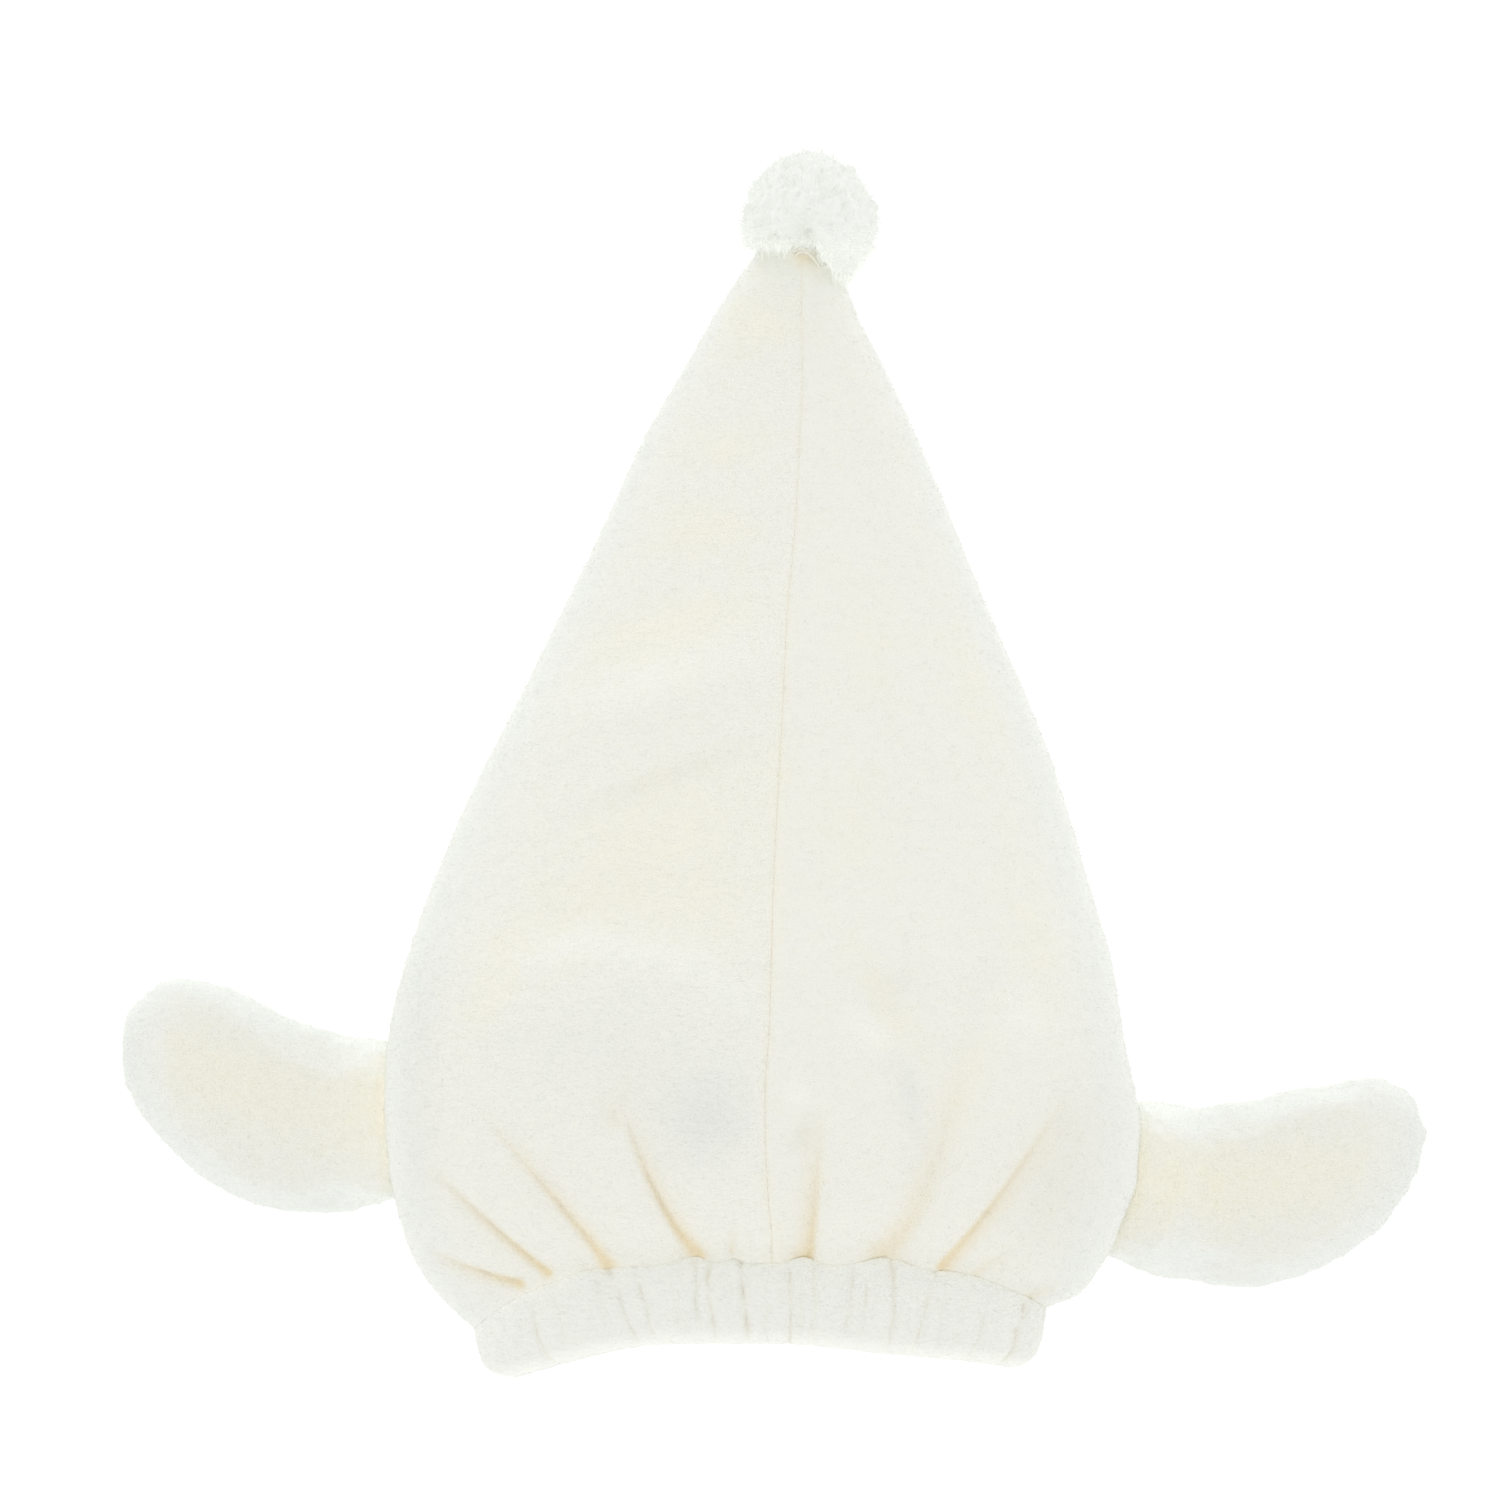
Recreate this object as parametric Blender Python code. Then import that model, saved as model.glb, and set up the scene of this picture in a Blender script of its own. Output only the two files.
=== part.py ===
"""Hair-drying towel cap of cream plush, lying flat on its front.

A tall pointed crown sewn from a front panel and two back panels, a gathered elastic headband round its
mouth, a padded ear in each side seam and a yarn pompom tied on the tip. X runs across the cap, Y from
the mouth to the tip and Z up from the surface it lies on.
"""

from collections import namedtuple

import bmesh
import bpy
import numpy as np

MM = 0.001

# Crown, as it lies
CROWN_LENGTH = 335 * MM  # headband seam to tip
CROWN_WIDTH = 252 * MM
CROWN_HEIGHT = 47 * MM
CLOTH = 3 * MM  # plush towelling with its pile
TIP_CLOTH = 0.7  # most of a section's lower height that the cloth takes up, near the tip
SEAM_GAP = 0.3 * MM
SEAM_SINK = 1.6 * MM  # how far a seam pulls the cloth in
SEAM_SOFTNESS = 4.0 * MM
SEAM_Y = -165 * MM  # the headband seam, from the middle of the whole cap
SIDE_ROUND = 20 * MM  # largest radius of the roll under each side
DOME_POWER = 2.4
SIDE_LEVEL = 0.42  # height of the widest line, as a share of the section's height
SIDE_SEAM = 0.4  # where the side seam lies on the roll, from the widest line down to the floor
DIP_POWER = 4  # the rows bend towards the mouth only near the sides

# Headband
MOUTH_WIDTH = 192 * MM
MOUTH_HEIGHT = 30 * MM
BAND_HEIGHT = 27.5 * MM
BAND_THICK = 5.5 * MM
BAND_GAP = 0.4 * MM
BAND_CREASE = 1.5 * MM
BAND_CREASE_WIDTH = 1.9 * MM
BAND_TAPER = 0.95  # width of the lower edge over the seam's
BAND_LEVEL = 0.57  # dip of the lower edge over the seam's
BAND_DIP_POWER = 1.9  # and its bend, softer than the seam's

# Ears
EAR_REACH_LEFT = 90 * MM
EAR_REACH_RIGHT = 93 * MM
EAR_WIDTH = 66 * MM
EAR_THICK = 13 * MM
EAR_ROOT_THICK = 9 * MM
EAR_ROOT_LENGTH = 14 * MM  # the part tucked under the crown's side

# Pompom
POMPOM_DIAMETER = 47 * MM
POMPOM_SHIFT = 13.5 * MM  # its middle, beside the cap's centre line
POMPOM_SEAT = 14 * MM  # its middle, beyond the tip
TIE_SHIFT = -2.5 * MM  # where its yarn is tied, from the pompom's middle
TIE_BACK = 9 * MM
TIE_HEIGHT = 15 * MM
LOCK_DEPTH = 0.11  # hollow between two locks, as a share of the yarn's length

# Numbers of rows and columns in the faceted pieces
CROWN_ROWS = 32
BACK_COLUMNS = 22
ROLL_COLUMNS = 2
FRONT_COLUMNS = 8
ROW_CROWDING = 1.35  # rows closer together towards the mouth
EDGE_CROWDING = 0.12  # columns closer together towards the sides

CREAM = (0.86, 0.84, 0.76, 1)
PALE = (0.90, 0.89, 0.84, 1)
LEFT, RIGHT = -1, 1

# Crown sections from the headband seam to the tip. along and the dips are shares of CROWN_LENGTH; left,
# right, seam and rise are shares of half the width and of the height, which follow the mouth's own
# width and height where mouth is 1 and the crown's where it is 0.
Section = namedtuple("Section", "along mouth left right seam rise dip_left dip_right")
SECTIONS = (
    Section(0.000, 1.00, 1.042, 0.958, 0.000, 0.97, 0.068, 0.040),
    Section(0.025, 0.55, 1.012, 0.945, 0.001, 1.00, 0.063, 0.055),
    Section(0.055, 0.25, 1.003, 0.940, -0.007, 1.01, 0.057, 0.060),
    Section(0.090, 0.08, 1.005, 0.943, -0.013, 1.01, 0.045, 0.060),
    Section(0.130, 0.00, 1.011, 0.964, -0.017, 1.00, 0.035, 0.050),
    Section(0.175, 0.00, 1.022, 0.972, -0.017, 1.00, 0.020, 0.040),
    Section(0.230, 0.00, 1.015, 0.938, -0.007, 0.98, 0.010, 0.015),
    Section(0.300, 0.00, 0.970, 0.896, -0.001, 0.93, 0.003, 0.003),
    Section(0.380, 0.00, 0.890, 0.835, 0.005, 0.86, 0.000, 0.000),
    Section(0.460, 0.00, 0.800, 0.774, 0.016, 0.80, 0.000, 0.000),
    Section(0.550, 0.00, 0.679, 0.687, 0.029, 0.74, 0.000, 0.000),
    Section(0.640, 0.00, 0.562, 0.583, 0.041, 0.67, 0.000, 0.000),
    Section(0.730, 0.00, 0.446, 0.485, 0.062, 0.61, 0.000, 0.000),
    Section(0.820, 0.00, 0.337, 0.385, 0.075, 0.54, 0.000, 0.000),
    Section(0.890, 0.00, 0.229, 0.298, 0.081, 0.48, 0.000, 0.000),
    Section(0.940, 0.00, 0.157, 0.229, 0.079, 0.42, 0.000, 0.000),
    Section(0.970, 0.00, 0.108, 0.192, 0.080, 0.37, 0.000, 0.000),
    Section(0.985, 0.00, 0.072, 0.174, 0.080, 0.29, 0.000, 0.000),
    Section(1.000, 0.00, 0.000, 0.130, 0.070, 0.16, 0.000, 0.000),
)

# Gathers that run up the back from the headband seam. foot and head are places across the back, from
# -1 at its left edge through 0 at the seam to 1; reach is a share of CROWN_LENGTH; lean bends the line.
Gather = namedtuple("Gather", "foot head reach lean depth width")
BACK_GATHERS = (
    Gather(-0.81, -0.97, 0.075, 1.0, 7 * MM, 5 * MM),
    Gather(-0.72, -0.88, 0.130, 1.6, 8 * MM, 6 * MM),
    Gather(-0.57, -0.74, 0.165, 2.2, 11 * MM, 6 * MM),
    Gather(-0.24, -0.37, 0.185, 0.8, 13 * MM, 7 * MM),
    Gather(-0.12, -0.08, 0.045, 1.0, 4 * MM, 4 * MM),
    Gather(0.09, 0.13, 0.190, 1.0, 12 * MM, 8 * MM),
    Gather(0.38, 0.58, 0.280, 0.8, 10 * MM, 11 * MM),
    Gather(0.61, 0.77, 0.185, 1.5, 12 * MM, 6 * MM),
    Gather(0.78, 0.82, 0.040, 1.0, 5 * MM, 5 * MM),
    Gather(0.93, 0.96, 0.030, 1.0, 5 * MM, 4 * MM),
)
FRONT_GATHERS = (
    Gather(-0.78, -0.86, 0.080, 1.0, 4 * MM, 6 * MM),
    Gather(-0.52, -0.60, 0.120, 1.0, 6 * MM, 7 * MM),
    Gather(-0.25, -0.29, 0.100, 1.0, 5 * MM, 6 * MM),
    Gather(0.03, 0.04, 0.130, 1.0, 6 * MM, 7 * MM),
    Gather(0.29, 0.33, 0.100, 1.0, 5 * MM, 6 * MM),
    Gather(0.55, 0.63, 0.120, 1.0, 6 * MM, 7 * MM),
    Gather(0.80, 0.87, 0.080, 1.0, 4 * MM, 6 * MM),
)
GATHER_FOOT = 0.2  # share of a gather's depth at the seam itself
GATHER_RAMP = 9 * MM  # run over which it reaches its full depth
GATHER_SHARPNESS = 1.3

# Soft swells and hollows of the back: place across and along as above, spread in each direction, lift.
Swell = namedtuple("Swell", "across along wide long lift")
SWELLS = (
    Swell(-0.45, 0.245, 34 * MM, 26 * MM, 4.0 * MM),
    Swell(-0.40, 0.360, 40 * MM, 14 * MM, -2.5 * MM),
    Swell(-0.42, 0.575, 34 * MM, 9 * MM, 2.5 * MM),
    Swell(-0.18, 0.130, 14 * MM, 16 * MM, 2.0 * MM),
    Swell(0.34, 0.245, 7 * MM, 20 * MM, -3.0 * MM),
    Swell(0.62, 0.270, 8 * MM, 18 * MM, -2.5 * MM),
    Swell(0.45, 0.420, 22 * MM, 30 * MM, 2.0 * MM),
)

# Creases of the gathered headband: place across, as above, and depth as a share of BAND_CREASE.
BandCrease = namedtuple("BandCrease", "across depth")
BAND_CREASES = (
    BandCrease(-0.93, 0.6),
    BandCrease(-0.80, 0.9),
    BandCrease(-0.70, 0.7),
    BandCrease(-0.53, 1.1),
    BandCrease(-0.42, 0.8),
    BandCrease(-0.31, 0.6),
    BandCrease(-0.20, 0.9),
    BandCrease(-0.09, 1.1),
    BandCrease(0.02, 0.6),
    BandCrease(0.14, 0.9),
    BandCrease(0.27, 0.8),
    BandCrease(0.36, 0.7),
    BandCrease(0.46, 1.1),
    BandCrease(0.57, 0.8),
    BandCrease(0.70, 0.7),
    BandCrease(0.81, 0.8),
    BandCrease(0.92, 1.0),
)
# The headband's closed profile: down is a share of its height, in a share of its thickness.
BandPoint = namedtuple("BandPoint", "down inward")
BAND_PROFILE = (
    BandPoint(0.00, 0.10),
    BandPoint(0.18, 0.00),
    BandPoint(0.82, 0.00),
    BandPoint(0.96, 0.22),
    BandPoint(1.00, 0.50),
    BandPoint(0.96, 0.78),
    BandPoint(0.82, 1.00),
    BandPoint(0.00, 1.00),
)

# Ear outlines: out runs from the crown's edge to the ear's end as a share of its reach; mid and half
# are the middle and the half width of its chord along Y, as shares of EAR_WIDTH.
EarStation = namedtuple("EarStation", "out mid half")
LEFT_EAR = (
    EarStation(0.00, -0.02, 0.39),
    EarStation(0.18, -0.03, 0.46),
    EarStation(0.36, -0.01, 0.49),
    EarStation(0.54, 0.09, 0.525),
    EarStation(0.70, 0.19, 0.49),
    EarStation(0.84, 0.28, 0.41),
    EarStation(0.93, 0.32, 0.28),
    EarStation(0.98, 0.33, 0.15),
    EarStation(1.00, 0.33, 0.04),
)
RIGHT_EAR = (
    EarStation(0.00, -0.02, 0.39),
    EarStation(0.16, -0.04, 0.44),
    EarStation(0.34, -0.04, 0.455),
    EarStation(0.52, 0.00, 0.465),
    EarStation(0.68, 0.07, 0.44),
    EarStation(0.82, 0.15, 0.385),
    EarStation(0.92, 0.21, 0.27),
    EarStation(0.975, 0.24, 0.15),
    EarStation(1.00, 0.24, 0.04),
)
LEFT_EAR_Y = -117 * MM
RIGHT_EAR_Y = -139.5 * MM
EAR_RING_POINTS = 14
EAR_EDGE_LEVEL = 0.42  # height of the ear's edge seam over its thickness
EAR_POWER = 2.3


def smooth(rows, name, along):
    """A named column of a table as a smooth curve over its first column, without overshoot.

    Cubic Hermite spans; the slope at a row is the harmonic mean of its neighbours' slopes, or zero
    where the column turns.
    """
    places = np.array([row[0] for row in rows])
    values = np.array([getattr(row, name) for row in rows])
    step = np.diff(places)
    slope = np.diff(values) / step
    before, after = slope[:-1], slope[1:]
    together = np.where(before * after > 0, before + after, 1.0)
    inner = np.where(before * after > 0, 2 * before * after / together, 0.0)
    tangent = np.concatenate([slope[:1], inner, slope[-1:]])
    along = np.asarray(along, float)
    k = np.clip(np.searchsorted(places, along, side="right") - 1, 0, len(step) - 1)
    t = np.clip((along - places[k]) / step[k], 0, 1)
    start = values[k] * (1 + 2 * t) * (1 - t) ** 2 + tangent[k] * step[k] * t * (1 - t) ** 2
    end = values[k + 1] * t**2 * (3 - 2 * t) - tangent[k + 1] * step[k] * t**2 * (1 - t)
    return start + end


def section_sizes(along, side):
    """Half width on one side, height, seam's x and the row's dip, at a share of the crown's length."""
    mouth = smooth(SECTIONS, "mouth", along)
    half_unit = (mouth * MOUTH_WIDTH + (1 - mouth) * CROWN_WIDTH) / 2
    height_unit = mouth * MOUTH_HEIGHT + (1 - mouth) * CROWN_HEIGHT
    seam = smooth(SECTIONS, "seam", along) * half_unit
    edge = smooth(SECTIONS, "left" if side == LEFT else "right", along) * half_unit
    half = edge + (seam if side == LEFT else -seam)
    rise = smooth(SECTIONS, "rise", along) * height_unit
    dip = smooth(SECTIONS, "dip_left" if side == LEFT else "dip_right", along) * CROWN_LENGTH
    return half, rise, seam, dip


def across_share(turn):
    """Share of the half width reached at a turn from 0, the seam, to 1, the widest line."""
    inside = np.clip(turn, 0, 1)
    return (1 + EDGE_CROWDING) * inside - EDGE_CROWDING * inside**8


def ring_point(turn, along, side):
    """x and z of a section: a superellipse dome to turn 1, a roll down to turn 2, flat floor to turn 3."""
    half, rise, seam, _ = section_sizes(along, side)
    roll = 1 / (1 / (0.7 * half) + 1 / SIDE_ROUND)
    level = SIDE_LEVEL * rise
    share = across_share(turn)
    angle = np.clip(turn - 1, 0, 1) * np.pi / 2
    dome_x = half * share
    dome_z = level + (rise - level) * np.clip(1 - share**DOME_POWER, 0, 1) ** (1 / DOME_POWER)
    roll_x = half - roll + roll * np.cos(angle)
    roll_z = level * (1 - np.sin(angle))
    flat_x = (half - roll) * (3 - np.clip(turn, 2, 3))
    x = np.where(turn <= 1, dome_x, np.where(turn <= 2, roll_x, flat_x))
    z = np.where(turn <= 1, dome_z, np.where(turn <= 2, roll_z, 0.0))
    return seam + side * x, z


def ring_normal(turn, along, side):
    """Outward direction of a section in its own plane, from the points just before and just after."""
    nudge = 1e-4
    x0, z0 = ring_point(np.clip(turn - nudge, 0, 3), along, side)
    x1, z1 = ring_point(np.clip(turn + nudge, 0, 3), along, side)
    nx, nz = -side * (z1 - z0), side * (x1 - x0)
    size = np.maximum(np.hypot(nx, nz), 1e-12)
    return nx / size, nz / size


def gather_depth(gathers, across, along, half):
    """How far the gathers pull a point in: a cusp across each line that fades towards its head."""
    depth = np.zeros(np.broadcast(across, along).shape)
    for g in gathers:
        t = np.clip(along / g.reach, 0, 1)
        line = g.foot + (g.head - g.foot) * t**g.lean
        away = np.abs(across - line) * half
        ramp = np.clip(along * CROWN_LENGTH / GATHER_RAMP, 0, 1)
        strength = (GATHER_FOOT + (1 - GATHER_FOOT) * ramp) * (1 - t**2)
        depth = depth + g.depth * strength * np.exp(-((away / g.width) ** GATHER_SHARPNESS))
    return depth


def swell_lift(across, along, half):
    """How far the soft swells lift a point: a bell in both directions for each."""
    lift = np.zeros(np.broadcast(across, along).shape)
    for s in SWELLS:
        beside = (across - s.across) * half / s.wide
        beyond = (along - s.along) * CROWN_LENGTH / s.long
        lift = lift + s.lift * np.exp(-(beside**2 + beyond**2))
    return lift


def seam_pull(turn, half):
    """Groove that the back seam leaves, deepest on the seam line."""
    away = across_share(turn) * half
    return np.where(turn < 1, SEAM_SINK * np.exp(-away / SEAM_SOFTNESS), 0.0)


def row_bend(from_seam, half, power=DIP_POWER):
    """How much of a row's dip is reached at a distance from the seam line."""
    return (np.abs(from_seam) / half) ** power


def crown_point(turn, along, side, inward=0.0):
    """A point of the crown's cloth, a distance inward from its outer face, as arrays x, y, z."""
    half, _, seam, dip = section_sizes(along, side)
    x, z = ring_point(turn, along, side)
    nx, nz = ring_normal(turn, along, side)
    share = np.where(turn <= 1, across_share(turn), 1.0)
    floor_share = np.clip(3 - turn, 0, 1)
    on_front = turn > 1 + SIDE_SEAM
    pulled = gather_depth(BACK_GATHERS, side * share, along, half) - swell_lift(side * share, along, half)
    lifted = gather_depth(FRONT_GATHERS, side * floor_share, along, half)
    depth = np.where(on_front, lifted, pulled) + seam_pull(turn, half) + inward
    x = x - nx * depth
    y = SEAM_Y + BAND_GAP / 2 + along * CROWN_LENGTH - dip * row_bend(x - seam, half)
    return x, y, z - nz * depth


def crown_rows():
    """Shares of the crown's length, closer together by the gathers, with one more round the tip."""
    even = (np.arange(CROWN_ROWS + 1) / CROWN_ROWS) ** ROW_CROWDING
    return np.concatenate([even[:-1], [SECTIONS[-2].along, 1.0]])


def cloth_thickness(along, side):
    """The cloth's thickness, less where the sections close to the tied tip."""
    _, rise, _, _ = section_sizes(along, side)
    return np.minimum(CLOTH, TIP_CLOTH * SIDE_LEVEL * rise)


def crown_grid(turns, along, side, inward=0.0):
    """Crown points for every row of along and every column of turns, as an array of points."""
    rows, columns = np.meshgrid(along, turns, indexing="ij")
    return np.stack(crown_point(columns, rows, side, inward), axis=-1)


def crown_walls(turns, along, side):
    """The outer and the inner face of the crown's cloth over the same rows and columns."""
    inward = cloth_thickness(along, side)[:, None]
    return crown_grid(turns, along, side), crown_grid(turns, along, side, inward)


def new_object(name, points, faces, colour):
    """A closed mesh object with outward faces and its own material."""
    mesh = bpy.data.meshes.new(name)
    mesh.from_pydata(points.tolist(), [], faces)
    shape = bmesh.new()
    shape.from_mesh(mesh)
    bmesh.ops.recalc_face_normals(shape, faces=shape.faces)
    shape.to_mesh(mesh)
    shape.free()
    mesh.shade_smooth()
    material = bpy.data.materials.new(name + "_plush")
    material.use_nodes = True
    shader = material.node_tree.nodes["Principled BSDF"]
    shader.inputs["Base Color"].default_value = colour
    shader.inputs["Roughness"].default_value = 0.95
    shader.inputs["Metallic"].default_value = 0.0
    mesh.materials.append(material)
    made = bpy.data.objects.new(name, mesh)
    bpy.context.scene.collection.objects.link(made)
    return made


def grid_faces(rows, columns, start, wrap=False):
    """Quads of a grid of points numbered row by row from start; wrap closes the columns to a ring."""
    last = columns if wrap else columns - 1
    return [
        (
            start + r * columns + c,
            start + r * columns + (c + 1) % columns,
            start + (r + 1) * columns + (c + 1) % columns,
            start + (r + 1) * columns + c,
        )
        for r in range(rows - 1)
        for c in range(last)
    ]


def cloth_solid(name, outer, inner, colour):
    """A wall between two grids of the same shape, closed round its four edges."""
    rows, columns, _ = outer.shape
    count = rows * columns
    points = np.concatenate([outer.reshape(-1, 3), inner.reshape(-1, 3)])
    faces = grid_faces(rows, columns, 0) + grid_faces(rows, columns, count)
    number = np.arange(count).reshape(rows, columns)
    rim = [*number[0, :], *number[1:, -1], *number[-1, -2::-1], *number[-2:0:-1, 0]]
    for i, here in enumerate(rim):
        there = rim[(i + 1) % len(rim)]
        faces.append((int(here), int(there), int(there) + count, int(here) + count))
    return new_object(name, points, faces, colour)


def back_turns():
    """Columns of a back panel, from the back seam over the side to the side seam."""
    dome = np.arange(BACK_COLUMNS + 1) / BACK_COLUMNS
    roll = 1 + SIDE_SEAM * np.arange(1, ROLL_COLUMNS + 1) / ROLL_COLUMNS
    return np.concatenate([dome, roll])


def front_turns():
    """Columns of half the front panel, from the side seam to the middle of the floor side."""
    roll = 1 + np.linspace(SIDE_SEAM, 1, ROLL_COLUMNS + 1)
    flat = 2 + np.arange(1, FRONT_COLUMNS + 1) / FRONT_COLUMNS
    return np.concatenate([roll, flat])


def step_back(grid, inner, column, towards):
    """Moves an edge column of a wall half a seam gap towards its neighbour column."""
    along_cloth = grid[:, towards] - grid[:, column]
    along_cloth /= np.linalg.norm(along_cloth, axis=-1, keepdims=True)
    grid[:, column] += along_cloth * SEAM_GAP / 2
    inner[:, column] += along_cloth * SEAM_GAP / 2


def back_panel(name, side):
    turns, along = back_turns(), crown_rows()
    outer, inner = crown_walls(turns, along, side)
    for wall in (outer, inner):
        wall[:, 0, 0] += side * SEAM_GAP / 2
    step_back(outer, inner, -1, -2)
    return cloth_solid(name, outer, inner, CREAM)


def front_panel():
    turns, along = front_turns(), np.append(crown_rows()[:-1:2], 1.0)
    left, right = crown_walls(turns, along, LEFT), crown_walls(turns[::-1], along, RIGHT)
    outer, inner = (np.concatenate([a, b[:, 1:]], axis=1) for a, b in zip(left, right))
    step_back(outer, inner, 0, 1)
    step_back(outer, inner, -1, -2)
    return cloth_solid("front_panel", outer, inner, CREAM)


def ring_turns(side):
    """Turns of the headband's columns on one side: each crease and the two shoulders after it."""
    places = sorted(side * crease.across for crease in BAND_CREASES if side * crease.across > 0)
    stops = [0.0, *places, 1.0]
    turns = []
    for start, end in zip(stops[:-1], stops[1:]):
        turns += [start, start + (end - start) / 3, start + (end - start) * 2 / 3]
    dome = np.array(turns) / (1 + EDGE_CROWDING * 0.9)
    floor = 3 - np.array(turns[::-1])
    return np.concatenate([dome, [1.0, 1.4, 1.7, 2.0], floor[floor > 2.05]])


def band_depth(turn, side):
    """Crease depth of the headband: a bell round each crease line, on the back and on the front."""
    share = np.where(turn <= 1, across_share(turn), np.clip(3 - turn, 0, 1))
    depth = np.zeros(turn.shape)
    for crease in BAND_CREASES:
        away = (side * share - crease.across) * MOUTH_WIDTH / 2
        depth = depth + crease.depth * np.exp(-((away / BAND_CREASE_WIDTH) ** 2))
    return np.where((turn > 1) & (turn < 2), 0.0, depth) * BAND_CREASE


def band_ring(point, side, turns):
    """One ring of the headband's profile, for one side, as an array of points."""
    at_seam = np.zeros(turns.shape)
    half, _, seam, dip = section_sizes(at_seam, side)
    x, z = ring_point(turns, at_seam, side)
    nx, nz = ring_normal(turns, at_seam, side)
    taper = 1 + (BAND_TAPER - 1) * point.down
    outside = np.sin(np.pi * min(point.down + 0.1, 1.0)) * (1 - point.inward)
    depth = point.inward * BAND_THICK + outside * band_depth(turns, side)
    from_seam = x - nx * depth - seam
    level = 1 + (BAND_LEVEL - 1) * point.down
    power = DIP_POWER + (BAND_DIP_POWER - DIP_POWER) * point.down
    y = SEAM_Y - BAND_GAP / 2 - point.down * BAND_HEIGHT - dip * row_bend(from_seam, half, power) * level
    return np.stack([seam + from_seam * taper, y, z - nz * depth], axis=-1)


def headband():
    rings = []
    for point in BAND_PROFILE:
        right = band_ring(point, RIGHT, ring_turns(RIGHT))
        left = band_ring(point, LEFT, ring_turns(LEFT))
        rings.append(np.concatenate([right, left[::-1]]))
    columns = len(rings[0])
    points = np.concatenate(rings)
    faces = grid_faces(len(rings), columns, 0, wrap=True)
    last = (len(rings) - 1) * columns
    for c in range(columns):
        following = (c + 1) % columns
        faces.append((last + c, last + following, following, c))
    return new_object("headband", points, faces, CREAM)


def crown_envelope():
    """A closed cutter of the crown's outer face, grown by the seam gap, that ears and pompom fit round."""
    turns = np.concatenate([back_turns(), front_turns()[1:]])
    along = crown_rows()
    right = crown_grid(turns, along, RIGHT, -SEAM_GAP)
    left = crown_grid(turns, along, LEFT, -SEAM_GAP)
    rings = np.concatenate([right, left[:, -2:0:-1]], axis=1)
    rings[-1, :, 1] += SEAM_GAP
    rows, columns, _ = rings.shape
    faces = grid_faces(rows, columns, 0, wrap=True)
    faces.append(tuple(range(columns)))
    faces.append(tuple((rows - 1) * columns + c for c in range(columns)))
    cutter = new_object("crown_envelope", rings.reshape(-1, 3), faces, CREAM)
    cutter.hide_render = True
    cutter.display_type = "WIRE"
    return cutter


def cut_clear(piece, cutter):
    """Takes the cutter's volume out of a piece."""
    cut = piece.modifiers.new("clear_of_crown", "BOOLEAN")
    cut.operation = "DIFFERENCE"
    cut.object = cutter
    cut.solver = "EXACT"


def ear(name, side, stations, reach, middle_y, cutter):
    """A padded lobe: chords along Y at each station, lens-shaped in section with a flat underside."""
    widest = max(section_sizes(np.array(row.along), side)[0] for row in SECTIONS)
    edge = widest - SEAM_GAP
    stops = np.linspace(0, 1, 10)
    outs = np.concatenate([[-EAR_ROOT_LENGTH / reach], np.sin(stops * np.pi / 2)])
    angle = np.arange(EAR_RING_POINTS) * 2 * np.pi / EAR_RING_POINTS
    rings = []
    for out in outs:
        station = max(out, 0)
        mid = smooth(stations, "mid", station) * EAR_WIDTH
        half = smooth(stations, "half", station) * EAR_WIDTH
        root = np.exp(-((out * reach / EAR_ROOT_LENGTH) ** 2)) if out > 0 else 1.0
        thick = EAR_ROOT_THICK * root + EAR_THICK * (1 - root)
        thick = thick * min(1.0, 0.25 + 1.6 * half / EAR_WIDTH)
        chord = np.sign(np.cos(angle)) * np.abs(np.cos(angle)) ** (2 / EAR_POWER)
        bulge = np.abs(np.sin(angle)) ** (2 / EAR_POWER)
        level = EAR_EDGE_LEVEL * thick
        z = np.where(np.sin(angle) >= 0, level + (thick - level) * bulge, level * (1 - bulge))
        x = np.full(angle.shape, side * (edge + out * reach))
        rings.append(np.stack([x, middle_y + mid + half * chord, z], axis=-1))
    points = np.concatenate(rings)
    count = EAR_RING_POINTS
    faces = grid_faces(len(rings), count, 0, wrap=True)
    faces.append(tuple(range(count)))
    faces.append(tuple((len(rings) - 1) * count + c for c in range(count)))
    made = new_object(name, points, faces, CREAM)
    cut_clear(made, cutter)
    return made


def pompom(cutter):
    """Yarn locks that fan out from the tie: a ball with a peak for each lock, flattened where it rests."""
    tip_y = SEAM_Y + CROWN_LENGTH
    middle = np.array([POMPOM_SHIFT, tip_y + POMPOM_SEAT, POMPOM_DIAMETER / 2])
    tie = np.array([POMPOM_SHIFT + TIE_SHIFT, middle[1] - TIE_BACK, TIE_HEIGHT])
    shape = bmesh.new()
    bmesh.ops.create_icosphere(shape, subdivisions=3, radius=1.0)
    peaks = len(shape.verts)
    bmesh.ops.subdivide_edges(shape, edges=shape.edges[:], cuts=1, use_grid_fill=True)
    shape.verts.ensure_lookup_table()
    directions = np.array([v.co.normalized()[:] for v in shape.verts])
    faces = [tuple(v.index for v in face.verts) for face in shape.faces]
    shape.free()
    from_middle = tie - middle
    towards = directions @ from_middle
    reach = -towards + np.sqrt(towards**2 + (POMPOM_DIAMETER / 2) ** 2 - from_middle @ from_middle)
    number = np.arange(len(directions))
    lock = np.where(number < peaks, 1 - 0.05 * (1 + np.sin(number * 2.4)), 1 - LOCK_DEPTH)
    points = tie + directions * (reach * lock)[:, None]
    points[:, 2] = np.maximum(points[:, 2], 0)
    made = new_object("pompom", points, faces, PALE)
    cut_clear(made, cutter)
    return made


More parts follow.
